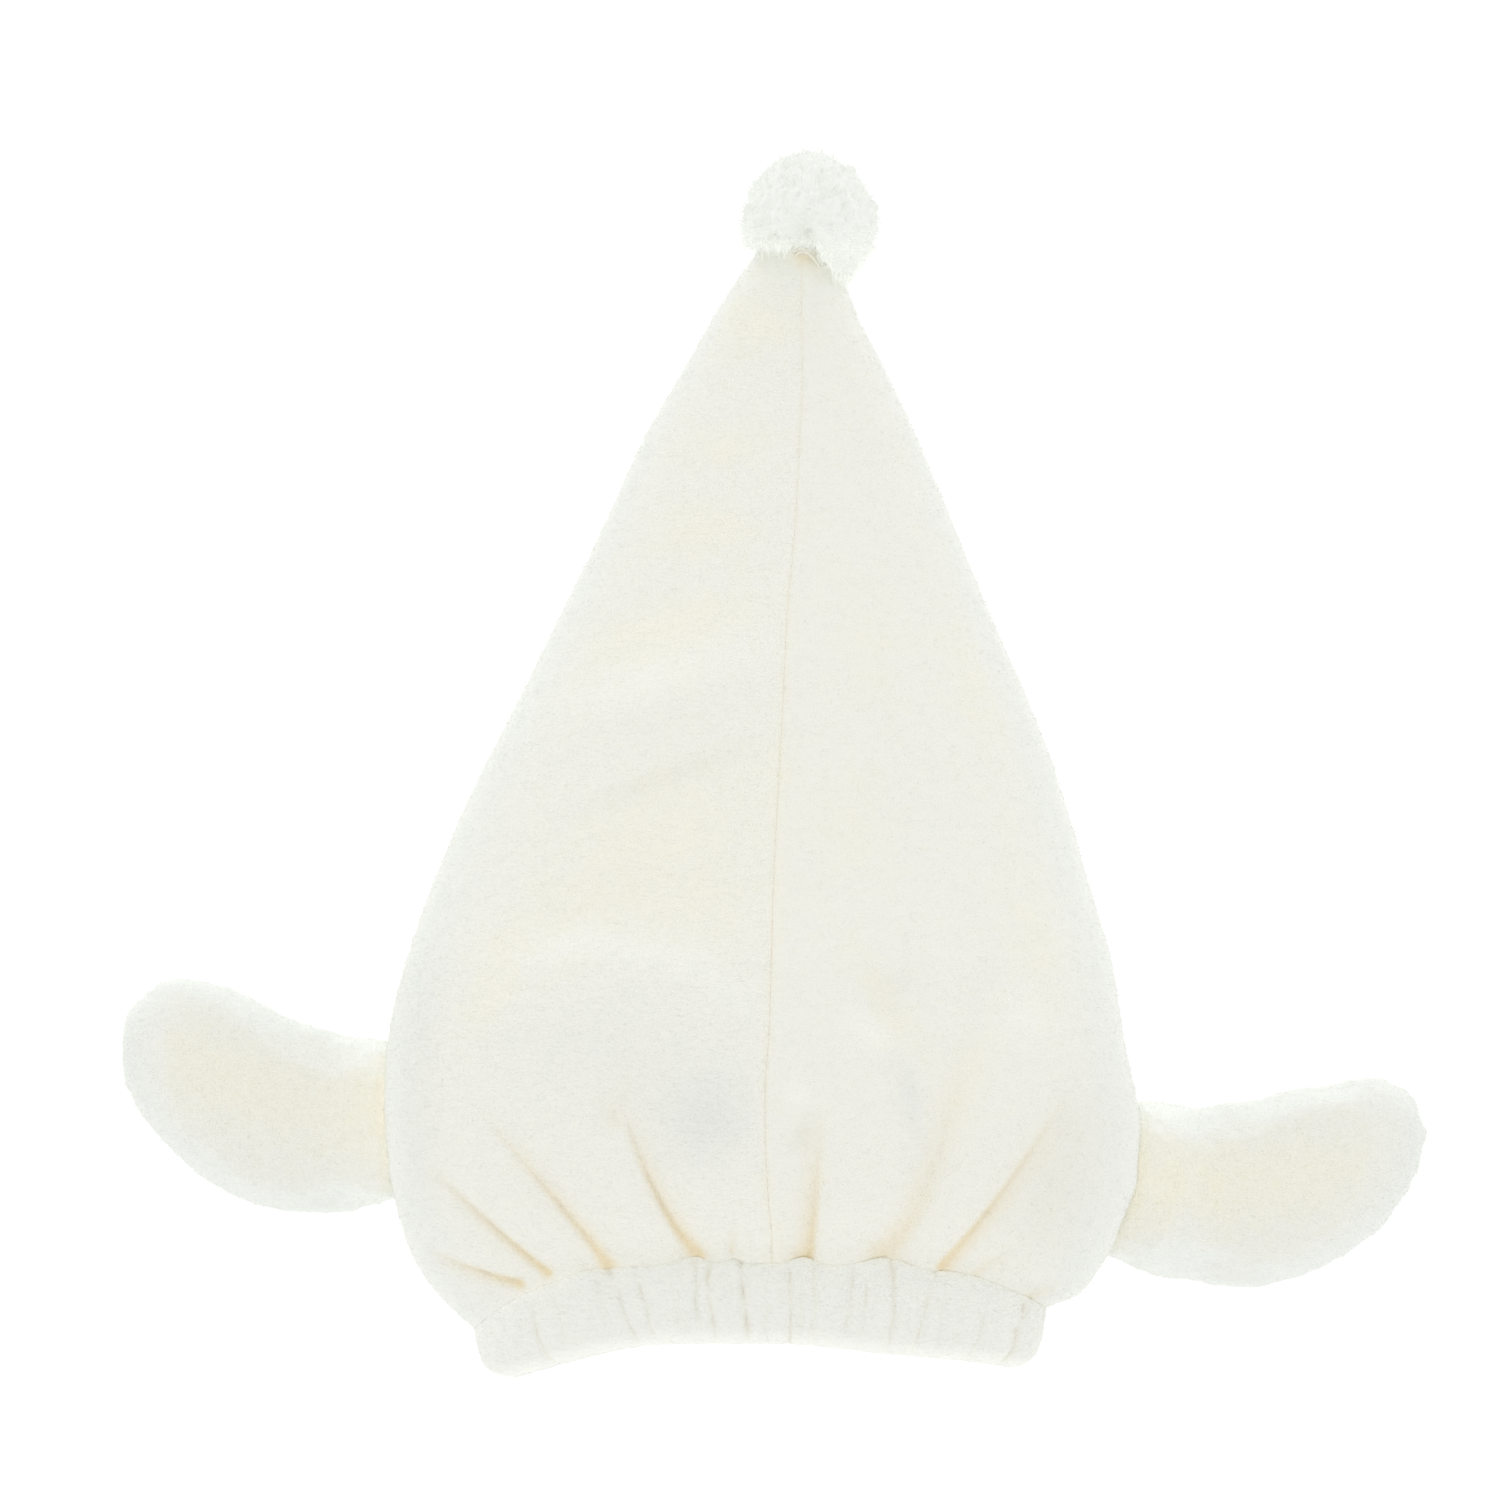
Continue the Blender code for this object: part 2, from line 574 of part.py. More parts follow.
def main():
    for old in list(bpy.data.objects):
        bpy.data.objects.remove(old)
    back_panel("back_panel_left", LEFT)
    back_panel("back_panel_right", RIGHT)
    front_panel()
    headband()
    cutter = crown_envelope()
    ear("ear_left", LEFT, LEFT_EAR, EAR_REACH_LEFT, LEFT_EAR_Y, cutter)
    ear("ear_right", RIGHT, RIGHT_EAR, EAR_REACH_RIGHT, RIGHT_EAR_Y, cutter)
    pompom(cutter)


main()
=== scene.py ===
"""Towel cap of cream plush, lying flat on its front: the looks of each piece, the light and the camera.

A tall pointed crown of two back panels and a front panel, a gathered headband round its mouth, two padded
ears and a yarn pompom tied on the tip. All pieces are in metres in the frame of the CAD model: X across
the cap, Y from the mouth to the tip, Z up from the surface it lies on.
"""

import math
from collections import namedtuple

import bpy
import numpy as np
from bpy.props import FloatProperty, FloatVectorProperty, IntProperty, PointerProperty
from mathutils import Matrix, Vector


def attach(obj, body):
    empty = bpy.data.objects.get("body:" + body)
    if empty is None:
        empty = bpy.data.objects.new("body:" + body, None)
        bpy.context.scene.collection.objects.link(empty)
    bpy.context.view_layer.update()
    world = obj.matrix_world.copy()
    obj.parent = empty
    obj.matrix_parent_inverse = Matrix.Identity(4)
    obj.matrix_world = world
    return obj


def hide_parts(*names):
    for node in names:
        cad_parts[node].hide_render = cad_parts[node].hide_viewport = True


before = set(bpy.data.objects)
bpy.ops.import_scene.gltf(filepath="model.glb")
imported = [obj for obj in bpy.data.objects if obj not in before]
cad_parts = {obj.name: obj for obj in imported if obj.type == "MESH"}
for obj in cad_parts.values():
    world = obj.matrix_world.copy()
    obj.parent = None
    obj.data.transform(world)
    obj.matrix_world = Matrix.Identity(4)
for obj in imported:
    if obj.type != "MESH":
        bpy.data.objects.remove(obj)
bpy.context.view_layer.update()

bl_info = {
    "name": "Towel Cap",
    "version": (1, 0, 0),
    "blender": (4, 5, 0),
    "location": "3D View > Sidebar > Towel Cap",
    "description": "Builds a plush hair-drying cap with a gathered headband, padded ears and a pompom",
    "category": "Add Mesh",
}

MM = 0.001
LEFT, RIGHT = -1, 1

# Crown sections from the headband seam to the tip. along and the dips are shares of the crown's length;
# left, right, seam and rise are shares of half the width and of the height, which follow the mouth's own
# width and height where mouth is 1 and the crown's where it is 0.
Section = namedtuple("Section", "along mouth left right seam rise dip_left dip_right")
SECTIONS = (
    Section(0.000, 1.00, 1.034, 0.957, 0.000, 0.97, 0.068, 0.048),
    Section(0.025, 0.55, 1.006, 0.942, 0.001, 1.00, 0.063, 0.057),
    Section(0.055, 0.25, 1.000, 0.930, -0.007, 1.01, 0.057, 0.058),
    Section(0.090, 0.08, 1.003, 0.934, -0.013, 1.01, 0.045, 0.060),
    Section(0.130, 0.00, 1.011, 0.964, -0.017, 1.00, 0.035, 0.050),
    Section(0.175, 0.00, 1.022, 0.972, -0.017, 1.00, 0.020, 0.040),
    Section(0.230, 0.00, 1.013, 0.935, -0.007, 0.98, 0.010, 0.015),
    Section(0.300, 0.00, 0.967, 0.899, -0.001, 0.93, 0.003, 0.003),
    Section(0.380, 0.00, 0.890, 0.835, 0.005, 0.86, 0.000, 0.000),
    Section(0.460, 0.00, 0.800, 0.774, 0.016, 0.80, 0.000, 0.000),
    Section(0.550, 0.00, 0.679, 0.687, 0.029, 0.74, 0.000, 0.000),
    Section(0.640, 0.00, 0.562, 0.583, 0.041, 0.67, 0.000, 0.000),
    Section(0.730, 0.00, 0.446, 0.485, 0.062, 0.61, 0.000, 0.000),
    Section(0.820, 0.00, 0.337, 0.385, 0.075, 0.54, 0.000, 0.000),
    Section(0.890, 0.00, 0.229, 0.298, 0.081, 0.48, 0.000, 0.000),
    Section(0.940, 0.00, 0.153, 0.229, 0.079, 0.46, 0.000, 0.000),
    Section(0.970, 0.00, 0.090, 0.192, 0.080, 0.45, 0.000, 0.000),
    Section(0.985, 0.00, 0.053, 0.174, 0.080, 0.44, 0.000, 0.000),
    Section(1.000, 0.00, 0.026, 0.130, 0.080, 0.42, 0.000, 0.000),
)

# Folds of the back that rise from the headband, as places in plan in millimetres: foot, middle and head
# of the line. slit is the depth of the crease itself and valley that of the hollow beside it, which
# spreads left and right of the line; foot_left and foot_right widen it at its foot; tint is how warm the
# painted light in it is.
Fold = namedtuple(
    "Fold", "foot_x foot_y mid_x mid_y head_x head_y slit valley left right foot_left foot_right tint"
)
FOLDS = (
    Fold(-84.0, -172.0, -99.8, -167.3, -115.5, -160.2, 1.9, 2.7, 2.2, 1.1, 0.2, 0.3, 0.74),
    Fold(-74.4, -168.4, -93.4, -152.0, -115.5, -131.0, 2.0, 3.0, 1.8, 1.2, 0.3, 0.3, 0.74),
    Fold(-54.6, -165.8, -72.8, -142.0, -97.5, -113.0, 1.5, 2.7, 1.1, 2.6, 2.6, 1.0, 0.82),
    Fold(-24.6, -163.6, -40.0, -137.5, -50.0, -108.5, 1.9, 3.4, 1.0, 3.0, 3.4, 0.4, 0.84),
    Fold(-51.5, -117.0, -48.5, -107.5, -35.0, -97.0, 0.2, 2.4, 3.4, 3.2, 0.0, 0.0, 0.22),
    Fold(-13.2, -162.0, -12.8, -157.5, -12.2, -151.0, 0.5, 0.8, 1.2, 1.0, 0.0, 0.0, 0.45),
    Fold(12.6, -164.0, 14.4, -141.5, 16.5, -112.0, 0.9, 4.6, 3.2, 1.3, 3.0, 0.4, 0.90),
    Fold(37.8, -163.0, 52.4, -135.5, 66.2, -85.5, 0.4, 4.8, 3.6, 2.8, 2.6, 1.8, 0.66),
    Fold(56.6, -165.8, 77.6, -139.5, 99.5, -106.0, 1.5, 2.9, 1.2, 3.2, 0.6, 1.2, 0.80),
    Fold(68.6, -168.9, 74.2, -164.4, 82.5, -160.4, 0.6, 1.3, 2.0, 1.6, 0.0, 0.0, 0.38),
    Fold(84.8, -177.8, 90.2, -175.2, 97.5, -171.6, 0.7, 1.4, 1.8, 1.8, 0.2, 0.2, 0.42),
)
SLIT_WIDTH = 0.95 * MM

# Plain gathers of the underside, which no one sees, in millimetres: place across, lean for each
# millimetre towards the tip, reach, depth and width.
Gather = namedtuple("Gather", "across lean reach depth wide")
FRONT_GATHERS = (
    Gather(-76, -0.28, 30, 4.0, 6),
    Gather(-50, -0.20, 42, 6.0, 7),
    Gather(-24, -0.10, 34, 5.0, 6),
    Gather(3, 0.02, 44, 6.0, 7),
    Gather(28, 0.12, 34, 5.0, 6),
    Gather(52, 0.22, 42, 6.0, 7),
    Gather(75, 0.28, 30, 4.0, 6),
)

# Soft swells and hollows of the back in plan, in millimetres: place, turn of the long way from X in
# degrees, spread along and across it, and lift.
Swell = namedtuple("Swell", "x y turn long wide lift")
SWELLS = (
    Swell(-56, -92, 10, 34, 22, 3.6),
    Swell(-48, -46, 6, 40, 14, -1.8),
    Swell(-32, 30, 16, 32, 9, 2.0),
    Swell(-30, 10, 16, 34, 9, -1.2),
    Swell(-18, -118, 80, 12, 9, -1.6),
    Swell(-20, -138, 80, 12, 10, 2.2),
    Swell(40, -100, -55, 14, 5, -1.8),
    Swell(66, -84, 80, 18, 5, -1.5),
    Swell(52, -72, 85, 16, 7, 2.0),
    Swell(50, 15, -65, 34, 18, 1.5),
)

# Patches of the back and ears, with the same columns: a tone over 0 makes the pile yellower, as where it lies
# flatter, and under 0 cooler, as where it stands; a light over 0 is a painted highlight and under 0 painted
# shade. The cool tone that goes with painted shade, and the warm tone by the ears' roots, are painted too.
Shade = namedtuple("Shade", "x y turn long wide tone light")
SHADES = (
    Shade(20, 166, -46, 8, 2.5, 0.0, 0.8),
    Shade(10.9, 173, 0, 6, 4, 0.0, 0.8),
    Shade(-6, 147, 0, 13, 9, 0.8, 0.0),
    Shade(-14, 106, 5, 16, 8, 0.6, 0.0),
    Shade(-21, 78, 5, 17, 9, 0.9, 0.0),
    Shade(-32, 46, 18, 32, 9, 0.9, 0.1),
    Shade(-38, 28, 17, 36, 7, 0.0, 0.28),
    Shade(-33, -3, 21, 30, 4, 0.3, -0.3),
    Shade(-34, -19, 22, 36, 18, 0.6, 0.0),
    Shade(-62, -48, 38, 34, 15, 0.6, 0.0),
    Shade(-24, -48, 0, 22, 20, 0.6, 0.0),
    Shade(-92, -72, 62, 22, 7, 0.7, 0.0),
    Shade(-72, -61, 22, 20, 6, -0.4, 0.22),
    Shade(-42, -62, -8, 20, 6, -0.4, 0.22),
    Shade(-16, -73, -28, 18, 6, -0.4, 0.22),
    Shade(-62, -90, 8, 34, 16, -0.3, -0.1),
    Shade(-24, -112, 20, 18, 13, -0.7, -0.2),
    Shade(-20, -121, 40, 13, 11, -0.6, -0.22),
    Shade(8, -108, 0, 5, 4, 0.0, 0.3),
    Shade(10, -122, 60, 5, 3.5, 0.3, -0.45),
    Shade(33, 42, -75, 20, 12, 0.5, 0.0),
    Shade(68, 25, -70, 22, 9, 0.6, 0.0),
    Shade(26, -21, -80, 22, 14, 0.5, 0.0),
    Shade(88, -55, -75, 28, 10, 0.6, 0.0),
    Shade(38, -78, -57, 23, 5, 0.9, 0.0),
    Shade(32, -87, -40, 11, 5, 0.0, 0.35),
    Shade(39, -75, 30, 12, 8, 0.0, -0.2),
    Shade(46, -112, -80, 18, 4, -0.6, -0.2),
    Shade(66, -104, 75, 20, 6, 0.6, 0.0),
    Shade(84, -82, 0, 8, 8, 0.0, 0.25),
    Shade(97, -136, 70, 34, 15, 0.25, -0.38),
    Shade(-117, -104, 88, 50, 9, 0.0, -0.26),
    Shade(-178, -106, -22, 34, 13, 0.75, 0.0),
    Shade(-134, -112, 0, 16, 17, 0.8, 0.0),
    Shade(168, -138, 8, 36, 13, 0.75, 0.0),
    Shade(136, -139, 0, 16, 17, 0.9, 0.0),
)

# Creases of the gathered headband in millimetres: where each starts and ends across, its start and end
# down the band as shares, its depth and its width.
BandCrease = namedtuple("BandCrease", "top_x foot_x start end depth wide")
BAND_CREASES = (
    BandCrease(-94.0, -91.5, 0.10, 0.90, 0.5, 0.7),
    BandCrease(-80.5, -79.5, 0.25, 0.95, 0.8, 0.5),
    BandCrease(-73.0, -70.5, 0.05, 0.75, 0.4, 0.6),
    BandCrease(-59.5, -53.0, 0.15, 0.85, 0.4, 0.5),
    BandCrease(-54.0, -47.0, 0.00, 0.85, 1.5, 0.5),
    BandCrease(-46.0, -40.5, 0.25, 0.90, 0.9, 0.5),
    BandCrease(-34.0, -31.5, 0.30, 0.80, 0.3, 0.6),
    BandCrease(-26.3, -24.4, 0.05, 0.75, 0.9, 0.5),
    BandCrease(-21.2, -20.3, 0.00, 0.90, 1.2, 0.6),
    BandCrease(-10.5, -8.0, 0.00, 0.90, 1.4, 0.6),
    BandCrease(-2.3, -1.2, 0.25, 1.00, 0.4, 0.6),
    BandCrease(6.2, 7.0, 0.00, 1.00, 1.2, 0.6),
    BandCrease(10.0, 10.4, 0.30, 0.90, 0.4, 0.5),
    BandCrease(14.0, 14.6, 0.00, 0.95, 0.7, 0.6),
    BandCrease(27.7, 25.0, 0.05, 0.75, 1.0, 0.6),
    BandCrease(33.2, 30.0, 0.25, 0.80, 0.8, 0.5),
    BandCrease(40.0, 42.0, 0.00, 0.90, 1.0, 0.6),
    BandCrease(54.5, 50.3, 0.00, 0.95, 0.8, 0.6),
    BandCrease(58.6, 58.0, 0.35, 0.90, 0.4, 0.6),
    BandCrease(65.5, 63.8, 0.30, 0.90, 0.4, 0.6),
    BandCrease(73.5, 70.5, 0.45, 1.00, 0.7, 0.6),
    BandCrease(84.5, 84.5, 0.05, 0.95, 1.1, 0.7),
)
BAND_PUFF = 1.2  # how deep the soft valley round a crease is, for each millimetre of the crease's own
BAND_PUFF_WIDTH = 2.8 * MM

# Where the seam between crown and headband rises between its gathers, in millimetres.
Scallop = namedtuple("Scallop", "x lift wide")
SCALLOPS = (
    Scallop(-62, 1.2, 5),
    Scallop(-26, 2.2, 6),
    Scallop(-12.5, 1.8, 3),
    Scallop(10.5, 1.9, 5),
    Scallop(38, 2.2, 7),
    Scallop(20, -0.8, 5),
    Scallop(53, -0.8, 5),
)

# The headband's lower edge, from its outside to its inside: down is a share of its height, inward a share
# of its thickness.
BandPoint = namedtuple("BandPoint", "down inward")
BAND_LIP = (
    BandPoint(0.80, 0.03),
    BandPoint(0.84, 0.06),
    BandPoint(0.88, 0.11),
    BandPoint(0.92, 0.19),
    BandPoint(0.955, 0.29),
    BandPoint(0.98, 0.40),
    BandPoint(1.00, 0.55),
    BandPoint(0.99, 0.74),
    BandPoint(0.96, 0.90),
    BandPoint(0.91, 1.00),
)

# Ear outlines: out runs from the crown's edge to the ear's end as a share of its reach; mid and half
# are the middle and the half width of its chord along Y, as shares of the ear's width.
EarStation = namedtuple("EarStation", "out mid half")
LEFT_EAR = (
    EarStation(0.00, -0.015, 0.390),
    EarStation(0.18, -0.025, 0.458),
    EarStation(0.36, 0.016, 0.499),
    EarStation(0.54, 0.105, 0.535),
    EarStation(0.70, 0.201, 0.499),
    EarStation(0.84, 0.286, 0.396),
    EarStation(0.93, 0.313, 0.262),
    EarStation(0.98, 0.33, 0.143),
    EarStation(1.00, 0.33, 0.040),
)
RIGHT_EAR = (
    EarStation(0.00, -0.002, 0.427),
    EarStation(0.16, -0.043, 0.447),
    EarStation(0.34, -0.050, 0.481),
    EarStation(0.52, 0.010, 0.488),
    EarStation(0.68, 0.072, 0.447),
    EarStation(0.82, 0.153, 0.383),
    EarStation(0.92, 0.205, 0.262),
    EarStation(0.975, 0.230, 0.146),
    EarStation(1.00, 0.24, 0.040),
)


# Crown
SEAM_Y = -165 * MM  # the headband seam, from the middle of the cap
DOME_POWER = 2.4  # power of the superellipse of its back
SIDE_LEVEL = 0.42  # height of its widest line as a share of its own height
SIDE_ROUND = 20 * MM  # radius of its sides' roll where it is wide
ROLL_SHARE = 0.7  # and as a share of the half width where it is narrow
SIDE_SEAM = 0.4  # how far down the roll the side seam lies, as a share of the roll
EDGE_CROWDING = 0.12  # how much its columns of points crowd towards the widest line
DIP_POWER = 4  # power by which a row falls back towards the sides
SEAM_SINK = 0.13 * MM  # depth of the centre seam
SEAM_SOFTNESS = 1.0 * MM
SEAM_RIDGE = 0.2 * MM  # its allowance lies to the right and lifts that side
RIDGE_PLACE = 2.4 * MM
RIDGE_WIDTH = 1.3 * MM
STITCH_PITCH = 6.6 * MM  # dimples where its stitches pull
EDGE_SINK = 0.1 * MM  # how the cloth turns in at the headband seam
EDGE_SOFTNESS = 1.3 * MM
EDGE_TUCK = 0.4 * MM  # how far the crown's edge goes in under the headband's
TIP_CLOTH = 0.7  # the most that the cloth takes of the height under its widest line
TIP_PLEAT = 0.5 * MM  # depth of the fine pleats by the tie
TIP_PLEATS = (5 * MM, 1.5 * MM, 1 * MM)  # their length, width and height
TIP_REACH = 4.2 * MM  # how far the gathered tip reaches on to the tie
TIP_HIDDEN = 4 * MM  # and how much further its end goes into the yarn
BACK_ROUGH = 0.35 * MM  # how uneven the cloth lies on the back, on the front and on the ears
FRONT_ROUGH = 0.2 * MM
EAR_ROUGH = 0.3 * MM

# Folds: shares of a fold's line, of its widths and of its depths
FOOT_REACH = 0.12  # over which its foot is wider
FADE_POWER = 1.6  # power by which it fades towards its head
HEAD_WIDENS = 0.9
SLIT_DEPTH = 0.7
VALLEY_DEPTH = 0.75
HOLLOW_SHARE = 0.45  # of the valley's depth that lies in the wide hollow round it
HOLLOW_WIDTH = 2.2

# Headband
BAND_CORNER = {LEFT: 0.0595, RIGHT: 0.0525}  # how much narrower its lower corners are
BAND_ARCH = 2.6 * MM  # how much higher its lower edge lies left of the middle than right of it
BAND_TAPER = 0.95  # its width at the lower edge as a share of that at the seam
BAND_LEVEL = 0.57  # how far the lower edge falls back at the sides as a share of the seam's dip
BAND_DIP_POWER = 1.9
BAND_BELLY = 0.9 * MM
BAND_ROUGH = 0.16 * MM
CREASE_DEPTH = 0.28  # share of a crease's depth that its slit takes
CREASE_RUN = 27 * MM  # its full run down the band
CREASE_ASTRAY = 0.9 * MM

# Ears
EAR_MIDDLE = {LEFT: -117 * MM, RIGHT: -139.5 * MM}  # the middle of their width along Y
EAR_ROOT = 14 * MM  # how far an ear goes in under the crown, and the reach of its thick root
EAR_ROOT_THICK = 20.5 * MM
EAR_SHRINK = 2.0 * MM  # what an ear's outline loses when it is remeshed and filled
EAR_SWELL = 1.5 * MM  # the most that filling it moves a point
EAR_LEVEL = 0.42  # height of its edge as a share of its thickness
LENS_POWER = 0.87
ROOT_SUNK = 0.8 * MM  # how far its root goes into the crown's pile
EAR_COLUMNS = 44  # points round a chord before it is filled

# Pompom
TIE = np.array([10.9, 173.6, 16.0]) * MM  # where the yarn is tied to the tip
BALL = np.array([12.8, 181.4, 23.5]) * MM  # the pompom's middle
HEART_SHARE = 0.96  # how much of the yarn's reach its closed heart takes
LOBE_DROP = 10.5 * MM  # how far the yarn hangs in front of the tie, right of the tip
LOBE_START = 14 * MM
LOBE_SOFTNESS = 9 * MM
PARTING = (5.5 * MM, 7 * MM)  # half widths of the dent over the tie, where the strands part
PARTING_DEPTH = 0.48
FRINGE = 1600  # loose ends of yarn that lie over the tip
SPOKES = 160  # strands that show where they run from the tie up the ball
ABOVE_TIE = np.array([0.0, 4.0, 7.0]) * MM  # where the yarn between them glows more, as painted light
HEART_ROWS, HEART_COLUMNS = 90, 184

# Pile
TUFT_LEAN = 0.75  # how far a tuft is turned towards the nap
TUFT_ASTRAY = 0.55
TUFT_SUNK = 0.15 * MM

# Mesh: spans along the gathered third and from there to the tip; the cloth's inner face has one point for
# LINING_STEP of the outer
BACK_ROWS = (208, 172)
FRONT_ROWS = (48, 64)
LINING_STEP = 4

# Looks: marks on each vertex that the materials read. The warm mark is painted warm light and the light mark
# painted light and shade; the tone mark is the pile's colour, painted cool on the rims
PLAIN_LOOKS = {"warmth": 0.0, "tone": 0.5, "nap": 1.0, "light": 0.0}
LIGHT_REACH = 0.12  # how much lighter the cloth is painted where its light mark is 1
YARN_LIGHT = 0.14  # how much more the yarn glows there, as painted light
TUFT_GLOW = 0.17  # how much the tufts glow, as painted light for what the fibres pass to one another
CLUMP_SIZE = 6.25 * MM  # how far spots of the plush's patterns lie apart
RIPPLE_SIZE = 1.25 * MM
TUFT_SIZE = MM / 1.9
TWIST_PITCH = 0.785 * MM  # how far the lines of the thread's twist lie apart
WAVE_LENGTH = 0.314  # that of the wave texture at scale 1, in metres

# Stage
AIM = (-7.17 * MM, 5.17 * MM, 18 * MM)  # what the camera looks down at
SUN_WAY = (0.1, -0.15, -1.0)
SUN_SPREAD = math.radians(50)
FLOOR_HALF = 9.0
FLOOR_DROP = 0.1 * MM


def to_linear(code):
    """An sRGB hex colour as linear RGBA."""
    srgb = np.array([int(code[i : i + 2], 16) / 255 for i in (1, 3, 5)])
    linear = np.where(srgb <= 0.04045, srgb / 12.92, ((srgb + 0.055) / 1.055) ** 2.4)
    return (*linear.tolist(), 1.0)


# Settings


class CrownSettings(bpy.types.PropertyGroup):
    """Sizes and colours of the crown and of the plush it is cut from."""

    length: FloatProperty(name="Length", description="Headband seam to tip", default=335 * MM, unit="LENGTH")
    width: FloatProperty(name="Width", description="Widest part, lying", default=252 * MM, unit="LENGTH")
    height: FloatProperty(name="Height", description="Thickest part, lying", default=47 * MM, unit="LENGTH")
    cloth: FloatProperty(name="Cloth", description="Thickness with its pile", default=3 * MM, unit="LENGTH")
    pile: FloatProperty(name="Pile", description="Length of a tuft", default=1.3 * MM, unit="LENGTH")
    tufts: IntProperty(name="Tufts", description="Tufts on each back panel", default=24000, min=0)
    colour: FloatVectorProperty(
        name="Plush", description="Colour of the plush", subtype="COLOR", default=to_linear("#F3F3EB")[:3]
    )
    creamy: FloatVectorProperty(
        name="Flat pile", description="Where it lies flat", subtype="COLOR", default=to_linear("#F6F3E3")[:3]
    )
    # The standing pile's colour, also painted on the rims as the light at the cap's edges
    cool: FloatVectorProperty(
        name="Standing pile", description="Where it stands", subtype="COLOR", default=to_linear("#EEF0EB")[:3]
    )
    # The colour of the warm light painted in folds, seams and crevices
    warm: FloatVectorProperty(
        name="Folds", description="Light inside folds", subtype="COLOR", default=to_linear("#F0E2C1")[:3]
    )


class HeadbandSettings(bpy.types.PropertyGroup):
    """Sizes of the gathered elastic headband."""

    width: FloatProperty(name="Mouth width", description="Relaxed, lying", default=192 * MM, unit="LENGTH")
    rise: FloatProperty(name="Mouth height", description="As it lies", default=30 * MM, unit="LENGTH")
    height: FloatProperty(name="Band height", description="Seam to edge", default=27.5 * MM, unit="LENGTH")
    thick: FloatProperty(name="Thickness", description="Casing and elastic", default=5.5 * MM, unit="LENGTH")
    tufts: IntProperty(name="Tufts", description="Tufts on the headband", default=9000, min=0)


class EarSettings(bpy.types.PropertyGroup):
    """Sizes of the two padded ears."""

    reach_left: FloatProperty(
        name="Left reach", description="From the crown to its end", default=91.3 * MM, unit="LENGTH"
    )
    reach_right: FloatProperty(
        name="Right reach", description="From the crown to its end", default=94 * MM, unit="LENGTH"
    )
    width: FloatProperty(name="Width", description="Across an ear", default=66 * MM, unit="LENGTH")
    thick: FloatProperty(name="Thickness", description="Padded middle", default=13 * MM, unit="LENGTH")
    fill: FloatProperty(name="Fill", description="How full the padding is", default=0.45, min=0, max=1)
    tufts: IntProperty(name="Tufts", description="Tufts on each ear", default=8500, min=0)


class PompomSettings(bpy.types.PropertyGroup):
    """Sizes and colour of the pompom and the thread that ties it."""

    diameter: FloatProperty(name="Diameter", description="Ball of yarn", default=47 * MM, unit="LENGTH")
    strands: IntProperty(name="Strands", description="Cut ends of yarn", default=12000, min=100)
    yarn: FloatProperty(name="Yarn", description="Thickness of a strand", default=0.2 * MM, unit="LENGTH")
    thread: FloatProperty(name="Thread", description="Thickness of the tie", default=0.8 * MM, unit="LENGTH")
    colour: FloatVectorProperty(
        name="Yarn colour", description="Of every strand", subtype="COLOR", default=to_linear("#EEF0EB")[:3]
    )


class StageSettings(bpy.types.PropertyGroup):
    """The camera and the light."""

    lens: FloatProperty(name="Lens", description="Focal length in millimetres", default=180)
    view_width: FloatProperty(name="View", description="Width that is seen", default=0.5, unit="LENGTH")
    key: FloatProperty(name="Key light", description="Strength of the soft light", default=0.4)
    sky: FloatProperty(name="Surround", description="Strength of the light all round", default=1.0)


# Numbers that change smoothly


def smooth(rows, name, along):
    """A named column of a table as a smooth curve over its first column, without overshoot.

    Cubic Hermite spans; the slope at a row is the harmonic mean of its neighbours' slopes, or zero where
    the column turns.
    """
    places = np.array([row[0] for row in rows])
    values = np.array([getattr(row, name) for row in rows])
    step = np.diff(places)
    slope = np.diff(values) / step
    before, after = slope[:-1], slope[1:]
    together = np.where(before * after > 0, before + after, 1.0)
    inner = np.where(before * after > 0, 2 * before * after / together, 0.0)
    tangent = np.concatenate([slope[:1], inner, slope[-1:]])
    along = np.asarray(along, float)
    k = np.clip(np.searchsorted(places, along, side="right") - 1, 0, len(step) - 1)
    t = np.clip((along - places[k]) / step[k], 0, 1)
    start = values[k] * (1 + 2 * t) * (1 - t) ** 2 + tangent[k] * step[k] * t * (1 - t) ** 2
    end = values[k + 1] * t**2 * (3 - 2 * t) - tangent[k + 1] * step[k] * t**2 * (1 - t)
    return start + end


def wander(points, size, seed):
    """Smooth random numbers from -1 to 1 at points: a cube of seeded numbers a size apart, blended."""
    lattice = np.random.default_rng(seed).uniform(-1, 1, (32, 32, 32))
    place = np.asarray(points) / np.asarray(size)
    cell = np.floor(place).astype(int)
    part = place - cell
    part = part * part * (3 - 2 * part)
    total = np.zeros(place.shape[:-1])
    for corner in np.ndindex(2, 2, 2):
        weight = np.ones(place.shape[:-1])
        for axis in range(3):
            weight = weight * (part[..., axis] if corner[axis] else 1 - part[..., axis])
        index = [(cell[..., axis] + corner[axis]) % 32 for axis in range(3)]
        total += weight * lattice[index[0], index[1], index[2]]
    return total


def unevenness(points, coarse, fine, seed):
    """How soft cloth lies from -1 to 1: coarse waves and finer ones on them, with sizes in millimetres."""
    waves = wander(points, np.array(coarse) * MM, seed)
    return 0.6 * waves + 0.4 * wander(points, np.array(fine) * MM, seed + 1)


def ease(value):
    """0 below 0, 1 above 1 and a soft S between."""
    t = np.clip(value, 0, 1)
    return t * t * (3 - 2 * t)


def bell(away, wide, power=2):
    """1 at 0 and less to both sides: e to the minus power of the distance over a width."""
    return np.exp(-((np.abs(away) / wide) ** power))


def fading(away, reach):
    """1 at 0 and less further on: e to the minus distance over a reach."""
    return np.exp(-away / reach)


